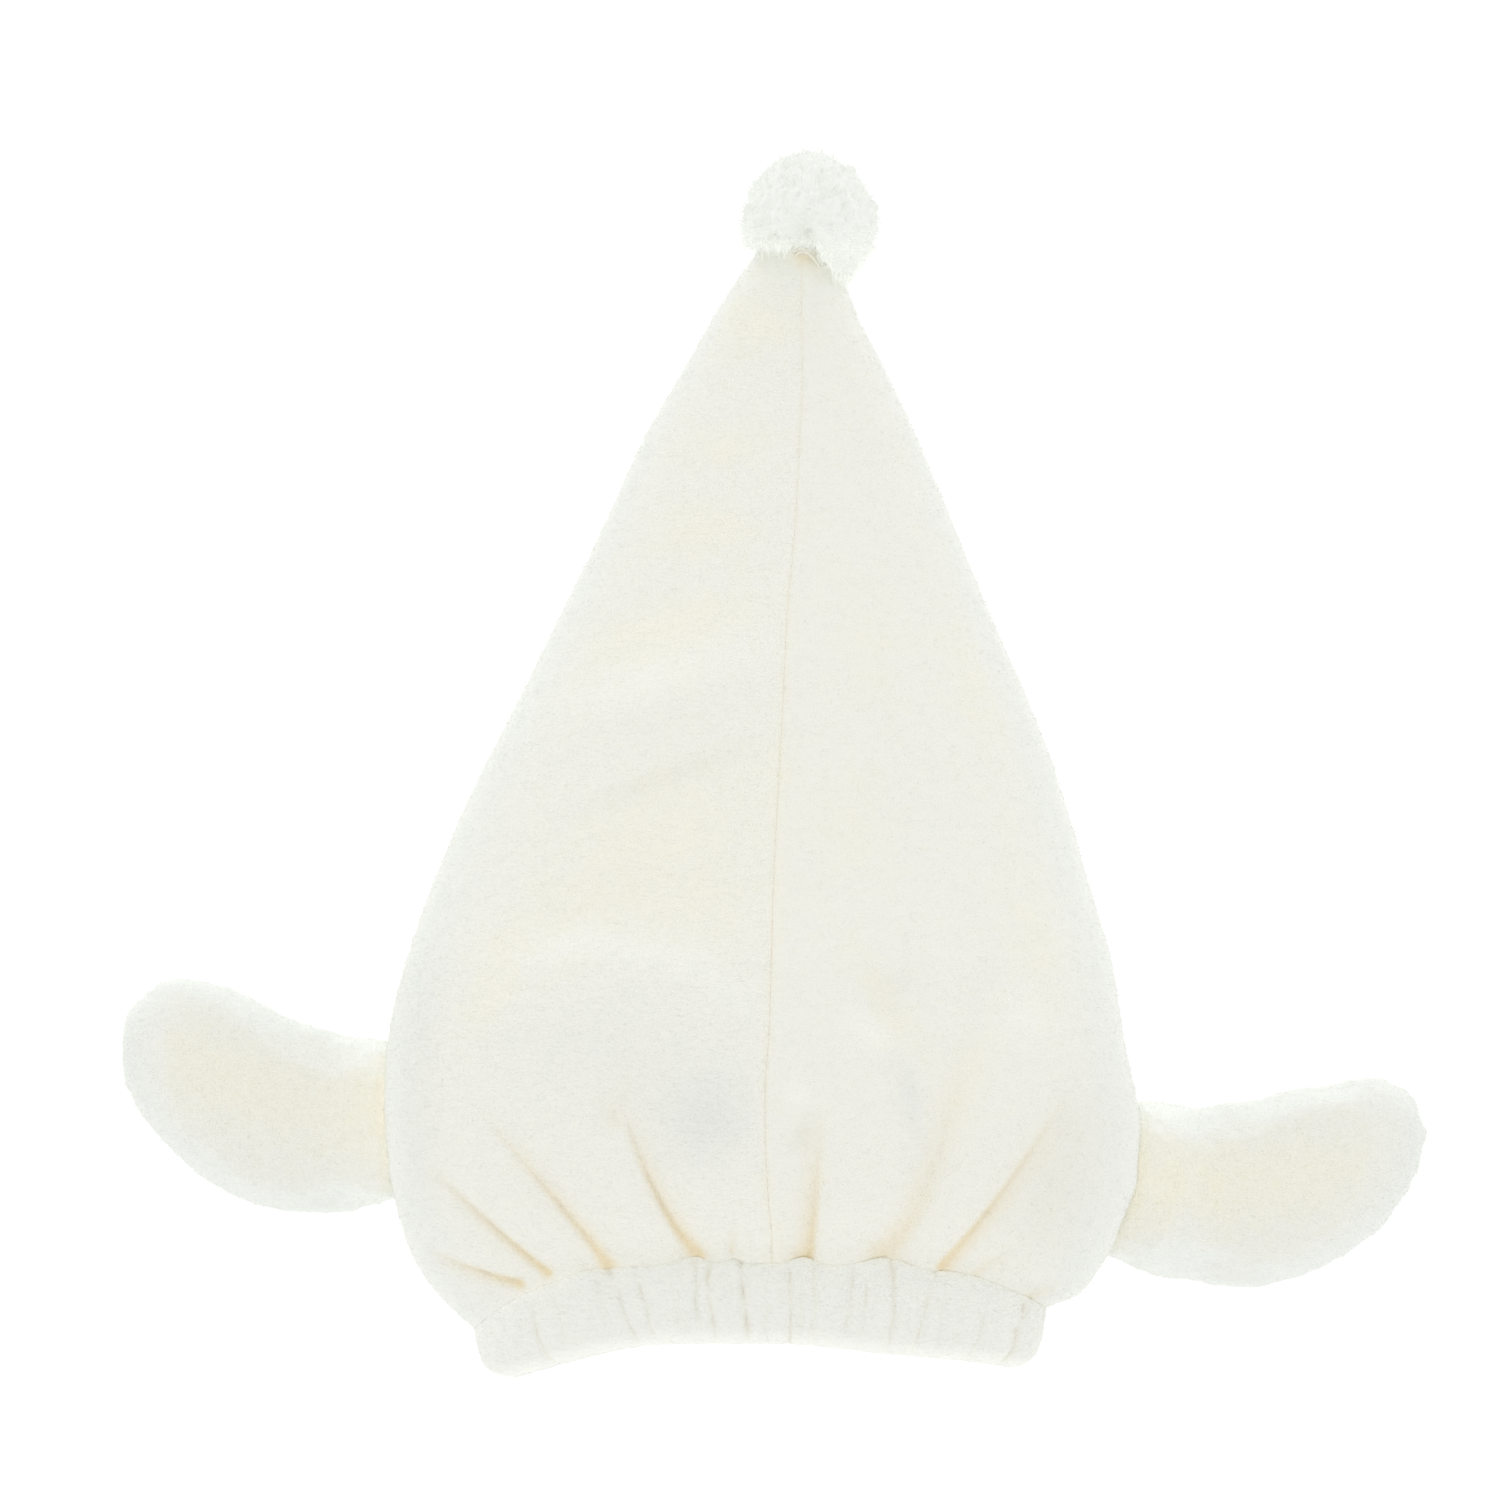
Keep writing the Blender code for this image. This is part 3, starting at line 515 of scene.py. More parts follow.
def bells(rows, name, x, y):
    """A named column of a table summed over soft bells, each longer one way than the other."""
    total = np.zeros(np.shape(x))
    for row in rows:
        turn = math.radians(row.turn)
        dx, dy = x - row.x * MM, y - row.y * MM
        along = (dx * math.cos(turn) + dy * math.sin(turn)) / (row.long * MM)
        beside = (dy * math.cos(turn) - dx * math.sin(turn)) / (row.wide * MM)
        total = total + getattr(row, name) * np.exp(-(along**2 + beside**2))
    return total


# Shape of the crown


def section_sizes(along, side):
    """Half width on one side, height, seam's x and the row's dip, at a share of the crown's length."""
    crown, band = bpy.context.scene.cap_crown, bpy.context.scene.cap_headband
    mouth = smooth(SECTIONS, "mouth", along)
    half_unit = (mouth * band.width + (1 - mouth) * crown.width) / 2
    height_unit = mouth * band.rise + (1 - mouth) * crown.height
    seam = smooth(SECTIONS, "seam", along) * half_unit
    edge = smooth(SECTIONS, "left" if side == LEFT else "right", along) * half_unit
    half = edge + (seam if side == LEFT else -seam)
    rise = smooth(SECTIONS, "rise", along) * height_unit
    dip = smooth(SECTIONS, "dip_left" if side == LEFT else "dip_right", along) * crown.length
    return half, rise, seam, dip


def across_share(turn):
    """Share of the half width reached at a turn from 0, the seam, to 1, the widest line."""
    inside = np.clip(turn, 0, 1)
    return (1 + EDGE_CROWDING) * inside - EDGE_CROWDING * inside**8


def roll_radius(half):
    """Radius of the roll of a side: the smaller of two, blended."""
    return 1 / (1 / (ROLL_SHARE * half) + 1 / SIDE_ROUND)


def ring_point(turn, along, side):
    """x and z of a section: a superellipse dome to turn 1, a roll down to turn 2, flat floor to turn 3."""
    half, rise, seam, _ = section_sizes(along, side)
    roll = roll_radius(half)
    level = SIDE_LEVEL * rise
    share = across_share(turn)
    angle = np.clip(turn - 1, 0, 1) * np.pi / 2
    dome_x = half * share
    dome_z = level + (rise - level) * np.clip(1 - share**DOME_POWER, 0, 1) ** (1 / DOME_POWER)
    roll_x = half - roll + roll * np.cos(angle)
    roll_z = level * (1 - np.sin(angle))
    flat_x = (half - roll) * (3 - np.clip(turn, 2, 3))
    x = np.where(turn <= 1, dome_x, np.where(turn <= 2, roll_x, flat_x))
    z = np.where(turn <= 1, dome_z, np.where(turn <= 2, roll_z, 0.0))
    return seam + side * x, z


def ring_normal(turn, along, side):
    """Outward direction of a section in its own plane, from the points just before and just after."""
    nudge = 1e-4
    x0, z0 = ring_point(np.clip(turn - nudge, 0, 3), along, side)
    x1, z1 = ring_point(np.clip(turn + nudge, 0, 3), along, side)
    nx, nz = -side * (z1 - z0), side * (x1 - x0)
    size = np.maximum(np.hypot(nx, nz), 1e-12)
    return nx / size, nz / size


def bow(from_seam, half, power=DIP_POWER):
    """How much of a row's dip is reached at a distance from the seam: 0 there and 1 at the side."""
    return (np.abs(from_seam) / half) ** power


def fold_line(fold, count=25):
    """Points of a fold's line in plan: the parabola through its foot, middle and head."""
    t = np.linspace(0, 1, count)[:, None]
    foot = np.array([fold.foot_x, fold.foot_y]) * MM
    mid = np.array([fold.mid_x, fold.mid_y]) * MM
    head = np.array([fold.head_x, fold.head_y]) * MM
    return foot * (1 - t) * (1 - 2 * t) + mid * 4 * t * (1 - t) + head * t * (2 * t - 1)


def from_line(x, y, line):
    """Distance to a line in plan, less than 0 to its left, and the share of the line reached there."""
    nearest = np.full(x.shape, np.inf)
    signed = np.zeros(x.shape)
    reached = np.zeros(x.shape)
    for k in range(len(line) - 1):
        step = line[k + 1] - line[k]
        size = np.hypot(*step)
        along = ((x - line[k, 0]) * step[0] + (y - line[k, 1]) * step[1]) / size**2
        held = np.clip(along, 0, 1)
        dx = x - line[k, 0] - held * step[0]
        dy = y - line[k, 1] - held * step[1]
        away = np.hypot(dx, dy)
        beside = np.sign(dx * step[1] - dy * step[0])
        closer = away < nearest
        nearest = np.where(closer, away, nearest)
        signed = np.where(closer, away * beside, signed)
        reached = np.where(closer, (k + held) / (len(line) - 1), reached)
    return signed, reached


def fold_effect(x, y, spread=0.0):
    """Depth of the folds at places in plan, and the warm light painted in them.

    Each fold is a narrow bell, the slit, on the crest line of a wider one, the valley, with its own width
    to each side, and a hollow wider still. All fade towards the fold's head and widen at its foot. spread
    widens them, for the cloth's inner face. The painted light is warmest on the valley's floor and in the
    slit.
    """
    depth = np.zeros(x.shape)
    warmth = np.zeros(x.shape)
    for fold in FOLDS:
        away, reached = from_line(x, y, fold_line(fold))
        at_foot = fading(reached, FOOT_REACH)
        fade = 1 - reached**FADE_POWER
        wide = np.where(away < 0, fold.left, fold.right) * (1 + HEAD_WIDENS * reached)
        wide = (wide + np.where(away < 0, fold.foot_left, fold.foot_right) * at_foot) * MM
        slit = bell(away, SLIT_WIDTH * (1 + at_foot) + spread)
        valley = bell(away, wide + spread, 1.7)
        hollow = bell(away, HOLLOW_WIDTH * wide + 2 * MM + spread)
        floor = bell(away, wide + spread, 3)
        soft = VALLEY_DEPTH * fold.valley * ((1 - HOLLOW_SHARE) * valley + HOLLOW_SHARE * hollow)
        depth = depth + (SLIT_DEPTH * fold.slit * slit + soft) * fade * (1 - 0.5 * at_foot) * MM
        # Painted warm light: in the slit, on the valley's floor and faintly in the hollow
        glow = 0.3 * min(fold.slit, 2) * slit + (0.45 + 0.3 * at_foot) * floor + 0.1 * hollow
        warmth = np.maximum(warmth, fold.tint * glow * fade)
    return depth, warmth


def front_gather_depth(x, y):
    """Depth of the plain gathers on the underside: straight lines that fade away from the headband."""
    depth = np.zeros(x.shape)
    up = y - SEAM_Y
    for g in FRONT_GATHERS:
        away = x - (g.across * MM + g.lean * up)
        fade = np.clip(1 - (up / (g.reach * MM)) ** 2, 0, 1)
        depth = depth + g.depth * MM * fade * bell(away, g.wide * MM, 1.5)
    return depth


def scallop(x):
    """How far the headband seam is pulled towards the tip at a place across."""
    lift = np.zeros(np.shape(x))
    for s in SCALLOPS:
        lift = lift + s.lift * MM * bell(x - s.x * MM, s.wide * MM)
    return lift


def level_seam(x):
    """1 at the left end of the headband seam, where the pile closes over it, and 0 elsewhere."""
    return ease((-60 * MM - x) / (12 * MM))


def seam_line(x):
    """1 along the headband seam and 0 at its left end, where no line of it is seen."""
    return ease((x + 92 * MM) / (14 * MM))


def centre_seam_depth(away, up, side):
    """Depth of the centre-back seam beside it: a groove with a dimple at each stitch, and a ridge."""
    stitch = np.maximum(0, np.cos(up / STITCH_PITCH * 2 * np.pi)) ** 6
    sink = SEAM_SINK * (0.6 + 0.9 * stitch) * fading(away, SEAM_SOFTNESS)
    if side == RIGHT:
        sink = sink - SEAM_RIDGE * bell(away - RIDGE_PLACE, RIDGE_WIDTH)
    return sink


def crown_point(turn, along, side, inward=0.0, spread=0.0, rough=0.0):
    """Points of the crown's cloth, a distance inward from its outer face, and how they look.

    A point of a plain section is moved inward by its depth: folds less swells on the back, gathers on the
    front, seams, pleats by the tie and, where it is rough, uneven cloth. Its row is then bowed to the sides
    and scalloped at the headband.
    """
    half, _, seam, dip = section_sizes(along, side)
    x, z = ring_point(turn, along, side)
    nx, nz = ring_normal(turn, along, side)
    up = along * bpy.context.scene.cap_crown.length
    y = SEAM_Y + up - EDGE_TUCK * fading(up, 2 * MM) + TIP_REACH * ease((along - 0.93) / 0.07)
    y = y + TIP_HIDDEN * ease((along - 0.985) / 0.015)
    plan_y = y - dip * bow(x - seam, half)
    on_top = ease((1 + SIDE_SEAM - turn) / 0.3)
    away = across_share(turn) * half
    folds, warmth = fold_effect(x, plan_y, spread)
    depth = (folds - bells(SWELLS, "lift", x, plan_y) * MM) * on_top
    depth = depth + front_gather_depth(x, plan_y) * ease((turn - 1.5) / 0.3)
    depth = depth + centre_seam_depth(away, up, side) * (turn < 1)
    depth = depth + EDGE_SINK * fading(up, EDGE_SOFTNESS) * (1 - level_seam(x))
    pleats = wander(np.stack([x, plan_y, 0 * x], axis=-1), TIP_PLEATS, 17)
    from_tie = np.hypot(x - TIE[0], plan_y - TIE[1])
    depth = depth + TIP_PLEAT * pleats * bell(from_tie, 9 * MM) + inward
    if rough:
        uneven = unevenness(np.stack([x, y, z], axis=-1), (6, 3, 4), (2.6, 1.5, 2), 3)
        depth = depth + rough * uneven * ease(along / 0.01) * ease((1.0 - along) / 0.01)
    x = x - nx * depth
    z = z - nz * depth
    y = y - dip * bow(x - seam, half)
    y = y + scallop(x) * fading(up, 9 * MM) * on_top
    points = np.stack([x, y, np.maximum(z, inward)], axis=-1)
    return points, crown_looks(turn, along, side, x, y, away, warmth, on_top)


def crown_looks(turn, along, side, x, y, away, warmth, on_top):
    """How the crown's cloth looks: painted warm light in folds, seams and by the tie; on its rim cooler and
    painted lighter.
    """
    up = along * bpy.context.scene.cap_crown.length
    share = across_share(turn)
    rim = ease((share - 0.80) / 0.2)
    # Painted warm light along the centre seam, along the headband seam and in the hollow by the tie
    seam_painted_light = bell(away, 0.7 * MM) * (turn < 1)
    band_seam_painted_light = fading(up, 1.0 * MM) * seam_line(x)
    tie_painted_light = bell(np.hypot(x - TIE[0], y - TIE[1] + 4 * MM), 3.6 * MM)
    warmth = (np.maximum(warmth, 0.15 * seam_painted_light) + 0.08 * band_seam_painted_light) * on_top
    beside_seam = bell(away, 3 * MM) * ease((0.8 - along) / 0.3) * (turn < 1)
    # The rim is painted in the cool colour, as the light at the cap's edges
    tone = 0.75 * np.tanh(bells(SHADES, "tone", x, y) + 0.5 * beside_seam) * (1 - rim) - 0.8 * rim
    nap = (1.0 if side == LEFT else 0.6) + np.where(along < 0.3, 0.1, 0.0)
    # Painted light and shade: the table's patches, a lighter rim and edge, the right panel a little darker,
    # and painted light along the headband seam, most at its left end
    light = bells(SHADES, "light", x, y) + 0.1 * rim - (0.0 if side == LEFT else 0.2)
    light = light + 0.2 * ease((share - 0.95) / 0.05) + 0.25 * band_seam_painted_light
    light = light + 0.6 * fading(up, 0.8 * MM) * level_seam(x)
    warmth = np.maximum(warmth, 0.6 * tie_painted_light)
    return {"warmth": warmth, "tone": 0.5 + 0.5 * tone, "nap": nap, "light": light}


def crown_rows(near, far):
    """Shares of the crown's length: near spans over the gathered third, far spans to the tip."""
    split = 0.35
    return np.concatenate([np.linspace(0, split, near + 1), np.linspace(split, 1, far + 1)[1:]])


def cloth_thickness(along, side):
    """The cloth's thickness, less where the sections close to the tied tip."""
    _, rise, _, _ = section_sizes(along, side)
    return np.minimum(bpy.context.scene.cap_crown.cloth, TIP_CLOTH * SIDE_LEVEL * rise)


# Meshes


def mark_looks(mesh, looks):
    """Writes each look of a mesh's vertices, or its plain value, as an attribute."""
    for name, plain in PLAIN_LOOKS.items():
        attribute = mesh.attributes.get(name) or mesh.attributes.new(name, "FLOAT", "POINT")
        values = np.empty(len(mesh.vertices), np.float32)
        values[:] = np.ravel(looks.get(name, plain))
        attribute.data.foreach_set("value", values)


def fresh_object(name, points, faces, material, looks=None):
    """A mesh object at the origin with one material, smooth faces and its looks for each vertex."""
    mesh = bpy.data.meshes.new(name)
    mesh.from_pydata(points.reshape(-1, 3).tolist(), [], faces)
    mesh.validate()
    mesh.shade_smooth()
    mesh.materials.append(material)
    mark_looks(mesh, looks or {})
    made = bpy.data.objects.new(name, mesh)
    bpy.context.scene.collection.objects.link(made)
    return made


def read_values(source, name, width=1):
    """One named number or vector of each item of a mesh's vertices or attribute, as an array."""
    values = np.empty(len(source) * width)
    source.foreach_get(name, values)
    return values if width == 1 else values.reshape(-1, width)


def mesh_arrays(made):
    """Points, vertex normals, triangles' corners and looks of an object's mesh, as arrays."""
    mesh = made.data
    mesh.calc_loop_triangles()
    triangles = np.empty(len(mesh.loop_triangles) * 3, int)
    mesh.loop_triangles.foreach_get("vertices", triangles)
    looks = {name: read_values(mesh.attributes[name].data, "value") for name in PLAIN_LOOKS}
    points, normals = read_values(mesh.vertices, "co", 3), read_values(mesh.vertices, "normal", 3)
    return points, normals, triangles.reshape(-1, 3), looks


def grid_faces(rows, columns, start=0, wrap=False, flip=False):
    """Quads of a grid of points numbered row by row from start; wrap closes the columns to a ring."""
    r, c = np.meshgrid(np.arange(rows - 1), np.arange(columns if wrap else columns - 1), indexing="ij")
    here, beside = r * columns + c, r * columns + (c + 1) % columns
    quads = np.stack([here, beside, beside + columns, here + columns], -1).reshape(-1, 4) + start
    return (quads[:, ::-1] if flip else quads).tolist()


def rim_of(rows, columns):
    """Vertex numbers round the edge of a grid, once round."""
    number = np.arange(rows * columns).reshape(rows, columns)
    return np.concatenate([number[0, :-1], number[:-1, -1], number[-1, :0:-1], number[:0:-1, 0]])


def cloth_wall(name, outer, inner, looks, inner_looks, flip):
    """A closed wall of cloth: a fine outer grid and a coarse inner one, joined all round their rims.

    A face of the rim has one edge of the inner grid and the run of the outer one that lies over it.
    """
    rows, columns = outer.shape[:2]
    inner_rows, inner_columns = inner.shape[:2]
    count = rows * columns
    faces = grid_faces(rows, columns, 0, flip=flip)
    faces += grid_faces(inner_rows, inner_columns, count, flip=not flip)
    fine, coarse = rim_of(rows, columns), rim_of(inner_rows, inner_columns) + count
    over = np.arange(len(coarse))[:, None] * LINING_STEP + np.arange(LINING_STEP, -1, -1)
    closing = np.column_stack([fine[over % len(fine)], coarse, np.roll(coarse, -1)])
    faces += (closing[:, ::-1] if flip else closing).tolist()
    points = np.concatenate([outer.reshape(-1, 3), inner.reshape(-1, 3)])
    both = {key: np.concatenate([looks[key].ravel(), inner_looks[key].ravel()]) for key in looks}
    return fresh_object(name, points, faces, plush(), both)


def unit(vectors):
    """Vectors brought to length 1."""
    return vectors / np.maximum(np.linalg.norm(vectors, axis=-1, keepdims=True), 1e-12)


def pile_on(base, name, count, length, keep, seed):
    """Tufts of pile on a piece: slim three-sided spikes at random places, all leaning with the nap.

    A place is a random point of a triangle picked by its area; the tip stands along the normal, turned
    towards the nap, which lies to the mouth, and a little at random. keep says which triangles carry
    tufts, by their middles and normals.
    """
    rng = np.random.default_rng(seed)
    points, normals, triangles, looks = mesh_arrays(base)
    corners = points[triangles]
    middle, facing = corners.mean(axis=1), normals[triangles].mean(axis=1)
    area = np.linalg.norm(np.cross(corners[:, 1] - corners[:, 0], corners[:, 2] - corners[:, 0]), axis=1)
    chance = area * keep(middle, facing)
    picked = rng.choice(len(triangles), size=count, p=chance / chance.sum())
    u, v = rng.random(count), rng.random(count)
    over = u + v > 1
    u, v = np.where(over, 1 - u, u), np.where(over, 1 - v, v)
    weights = np.stack([1 - u - v, u, v], axis=1)[..., None]
    foot = (corners[picked] * weights).sum(axis=1)
    normal = unit((normals[triangles[picked]] * weights).sum(axis=1))
    nap = np.array([0, -1, 0]) + rng.normal(0, TUFT_ASTRAY, (count, 3))
    nap = nap - normal * (nap * normal).sum(axis=1, keepdims=True)
    stand = unit(normal + TUFT_LEAN * nap)
    tall = length * rng.uniform(0.55, 1.0, (count, 1))
    tip = foot + stand * tall
    tip[:, 2] = np.maximum(tip[:, 2], 0.05 * MM)
    aside = unit(np.cross(stand, rng.normal(0, 1, (count, 3))))
    other = np.cross(stand, aside)
    radius = tall * rng.uniform(0.07, 0.11, (count, 1))
    around = [aside, -0.5 * aside + 0.866 * other, -0.5 * aside - 0.866 * other]
    sunk = foot - normal * TUFT_SUNK
    spikes = np.stack([sunk + radius * way for way in around] + [tip], axis=1)
    spikes[..., 2] = np.maximum(spikes[..., 2], 0.0)
    number = np.arange(count)[:, None, None] * 4
    faces = (number + np.array([[0, 1, 3], [1, 2, 3], [2, 0, 3], [2, 1, 0]])).reshape(-1, 3)
    taken = {key: np.repeat(values[triangles[picked, 0]], 4) for key, values in looks.items()}
    return settle(fresh_object(name, spikes, faces.tolist(), plush(bumpy=False), taken), "cream_plush")


def pile_share(facing):
    """Tufts stand a little closer where the cloth is seen edge on."""
    return 0.5 + 0.8 * (1 - np.abs(facing[:, 2]))


def tube_along(paths, radius, sides=3):
    """Closed thin tubes along many paths at once: paths is strands by stations by 3, radius by stations."""
    count, stations, _ = paths.shape
    step = unit(np.gradient(paths, axis=1))
    guide = np.where(np.abs(step[..., 2:3]) < 0.9, np.array([0.0, 0.0, 1.0]), np.array([1.0, 0.0, 0.0]))
    aside = np.cross(step, guide)
    aside /= np.linalg.norm(aside, axis=2, keepdims=True)
    other = np.cross(step, aside)
    angle = np.arange(sides) * 2 * np.pi / sides
    ring = np.cos(angle)[:, None] * aside[:, :, None, :] + np.sin(angle)[:, None] * other[:, :, None, :]
    points = paths[:, :, None, :] + ring * radius[:, :, None, None]
    quads = np.array(grid_faces(stations, sides, wrap=True))
    offset = np.arange(count)[:, None, None] * stations * sides
    faces = (quads + offset).reshape(-1, 4).tolist()
    start = np.arange(sides)[::-1] + offset[:, 0]
    end = np.arange(sides) + (stations - 1) * sides + offset[:, 0]
    return points, faces + start.tolist() + end.tolist()


# Materials


def set_inputs(tree, node, inputs):
    """Gives each named input of a node its value, or links it to the output that feeds it."""
    for key, source in inputs.items():
        if isinstance(source, bpy.types.NodeSocket):
            tree.links.new(source, node.inputs[key])
        else:
            node.inputs[key].default_value = source


def add_node(tree, kind, inputs=None, output=0, **settings):
    """Adds a shader node with its settings and inputs, and gives back the output that is asked for."""
    node = tree.nodes.new(kind)
    for name, value in settings.items():
        setattr(node, name, value)
    set_inputs(tree, node, inputs or {})
    return node.outputs[output]


def fresh_material(name):
    """A new material's node tree and its shader."""
    material = bpy.data.materials.new(name)
    material.use_nodes = True
    return material.node_tree, material.node_tree.nodes["Principled BSDF"]


def add_glow(tree, shader, colour, strength):
    """A faint glow in its own colour: on plush and yarn, painted light for what pale fibres pass to one
    another.
    """
    set_inputs(tree, shader, {"Emission Color": colour, "Emission Strength": strength})


def plush_material(name, bumpy):
    """Microfibre plush towelling, warp-knitted with a cut pile: matt, with a soft pale bloom at its edges.

    It looks creamier where the pile lies flat and cooler where it stands, in clumps 6 mm apart. The pile
    lies in short ripples across the cap, 1.3 mm high and 3 mm wide, of tufts 0.5 mm thick. In folds the
    light inside is painted on it warm, its light mark paints light and shade on it, and the tufts glow as
    painted light.
    """
    crown = bpy.context.scene.cap_crown
    cool, plain, creamy, warm = ((*getattr(crown, key), 1.0) for key in ("cool", "colour", "creamy", "warm"))
    tree, shader = fresh_material(name)
    place = add_node(tree, "ShaderNodeTexCoord", output="Object")
    tone, warmth, light = (
        add_node(tree, "ShaderNodeAttribute", output="Fac", attribute_name=look)
        for look in ("tone", "warmth", "light")
    )
    clump = {"Vector": place, "Scale": 1 / CLUMP_SIZE, "Detail": 2.0, "Roughness": 0.6}
    clumps = add_node(tree, "ShaderNodeTexNoise", clump)
    uneven = add_node(tree, "ShaderNodeMath", {0: clumps, 1: 0.5, 2: tone}, operation="MULTIPLY_ADD")
    level = add_node(tree, "ShaderNodeMath", {0: uneven, 1: 0.25}, operation="SUBTRACT")
    ramp = add_node(tree, "ShaderNodeValToRGB", {"Fac": level})
    colours = ramp.node.color_ramp.elements
    colours[0].color = cool
    colours[1].color = creamy
    colours.new(0.5).color = plain
    shaded = add_node(tree, "ShaderNodeMix", {0: warmth, 6: ramp, 7: warm}, output=2, data_type="RGBA")
    # The light mark paints light and shade: it scales the colour
    gain = add_node(tree, "ShaderNodeMath", {0: light, 1: LIGHT_REACH, 2: 1.0}, operation="MULTIPLY_ADD")
    base = add_node(tree, "ShaderNodeVectorMath", {0: shaded, "Scale": gain}, operation="SCALE")
    finish = {"Base Color": base, "Roughness": 0.95, "Specular IOR Level": 0.15}
    bloom = {"Sheen Weight": 0.35, "Sheen Roughness": 0.45, "Sheen Tint": to_linear("#FFFEF7")}
    set_inputs(tree, shader, {**finish, **bloom})
    # The tufts glow, as painted light
    if not bumpy:
        add_glow(tree, shader, base, TUFT_GLOW)
        return
    across = add_node(tree, "ShaderNodeMapping", {"Vector": place, "Scale": (0.38, 1.0, 0.8)})
    ripple = {"Vector": across, "Scale": 1 / RIPPLE_SIZE, "Detail": 2.0, "Roughness": 0.6, "Distortion": 0.5}
    ripples = add_node(tree, "ShaderNodeTexNoise", ripple)
    tuft = {"Vector": place, "Scale": 1 / TUFT_SIZE, "Detail": 1.0, "Roughness": 0.7}
    tufts = add_node(tree, "ShaderNodeTexNoise", tuft)
    height = add_node(tree, "ShaderNodeMath", {0: ripples, 1: 1.4, 2: tufts}, operation="MULTIPLY_ADD")
    nap = add_node(tree, "ShaderNodeAttribute", output="Fac", attribute_name="nap")
    relief = add_node(tree, "ShaderNodeBump", {"Height": height, "Strength": nap, "Distance": 0.3 * MM})
    set_inputs(tree, shader, {"Normal": relief})


def yarn_material(name, glow):
    """Acrylic yarn, cut and fluffed: a bright matt white with a faint bloom, a painted glow and painted warm
    light deep inside.
    """
    colour = (*bpy.context.scene.cap_pompom.colour, 1.0)
    tree, shader = fresh_material(name)
    warmth, light = (
        add_node(tree, "ShaderNodeAttribute", output="Fac", attribute_name=look)
        for look in ("warmth", "light")
    )
    # The colour of the painted warm light deep in the yarn, by the tie
    deep = to_linear("#F3E2C6")
    base = add_node(tree, "ShaderNodeMix", {0: warmth, 6: colour, 7: deep}, output=2, data_type="RGBA")
    # The glow is painted light, stronger where the light mark is
    strength = add_node(tree, "ShaderNodeMath", {0: light, 1: YARN_LIGHT, 2: glow}, operation="MULTIPLY_ADD")
    add_glow(tree, shader, base, strength)
    finish = {"Base Color": base, "Roughness": 0.85, "Specular IOR Level": 0.2, "Sheen Weight": 0.4}
    set_inputs(tree, shader, finish)


def thread_material(name):
    """Polyester sewing thread, spun: off-white with a slight gloss and fine twist lines.

    The lines are drawn about 0.8 mm apart, coarser than the real twist, so that they show.
    """
    tree, shader = fresh_material(name)
    place = add_node(tree, "ShaderNodeTexCoord", output="Object")
    lines = {"Vector": place, "Scale": WAVE_LENGTH / TWIST_PITCH, "Distortion": 1.0}
    twist = add_node(tree, "ShaderNodeTexWave", lines, output="Fac")
    relief = add_node(tree, "ShaderNodeBump", {"Height": twist, "Strength": 0.4, "Distance": 0.1 * MM})
    set_inputs(tree, shader, {"Base Color": to_linear("#F2EFE2"), "Roughness": 0.55, "Normal": relief})


def paper_material(name):
    """White paper: matt, and glowing a little so that it stays white round the cap, as in a light tent."""
    tree, shader = fresh_material(name)
    finish = {"Base Color": to_linear("#AAAAAA"), "Roughness": 1.0, "Specular IOR Level": 0.0}
    set_inputs(tree, shader, finish)
    add_glow(tree, shader, to_linear("#FFFFFF"), 0.8)


def shared_material(name, make, *details):
    """The material of that name, made on first use."""
    if name not in bpy.data.materials:
        make(name, *details)
    return bpy.data.materials[name]


def plush(bumpy=True):
    """The plush of the crown, headband and ears: the cloth, or the tufts that stand on it."""
    return shared_material("microfibre_plush_" + ("cloth" if bumpy else "tufts"), plush_material, bumpy)


# Pieces


def settle(piece, slot, *nodes):
    """Ties a finished piece to the cap's body, in place of CAD nodes if any; slot is not used."""
    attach(piece, "root")
    if nodes:
        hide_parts(*nodes)
    return piece


def cloth_sheet(rows, turns, side, rough, spread):
    """Points of the crown's cloth over a grid, outside and inside, and their looks."""
    along, turn = np.meshgrid(rows, turns, indexing="ij")
    outer, looks = crown_point(turn, along, side, rough=rough)
    along, turn = along[::LINING_STEP, ::LINING_STEP], turn[::LINING_STEP, ::LINING_STEP]
    inner, inner_looks = crown_point(turn, along, side, cloth_thickness(along, side), spread)
    return outer, inner, looks, inner_looks


def joined(left, right):
    """Two grids side by side, which share the column between them."""
    return np.concatenate([left, right[:, 1:]], axis=1)


def back_panel(side):
    """One half of the crown's back: the dome and the upper roll of its side, folded and piled."""
    crown = bpy.context.scene.cap_crown
    name = "left" if side == LEFT else "right"
    by_seam, dome = np.array([0, 0.0022, 0.0048, 0.0080, 0.0120]), np.linspace(0.0120, 1, 173)[1:]
    turns = np.concatenate([by_seam, dome, 1 + SIDE_SEAM * np.arange(1, 25) / 24])
    sheet = cloth_sheet(crown_rows(*BACK_ROWS), turns, side, BACK_ROUGH, 2.5 * MM)
    piece = cloth_wall(f"crown_back_{name}", *sheet, side == LEFT)
    settle(piece, "cream_plush", f"back_panel_{name}")

    def outside(middle, facing):
        return (facing[:, 2] > -0.6) * pile_share(facing)

    pile_on(piece, f"crown_pile_{name}", crown.tufts, crown.pile, outside, 11 + side)


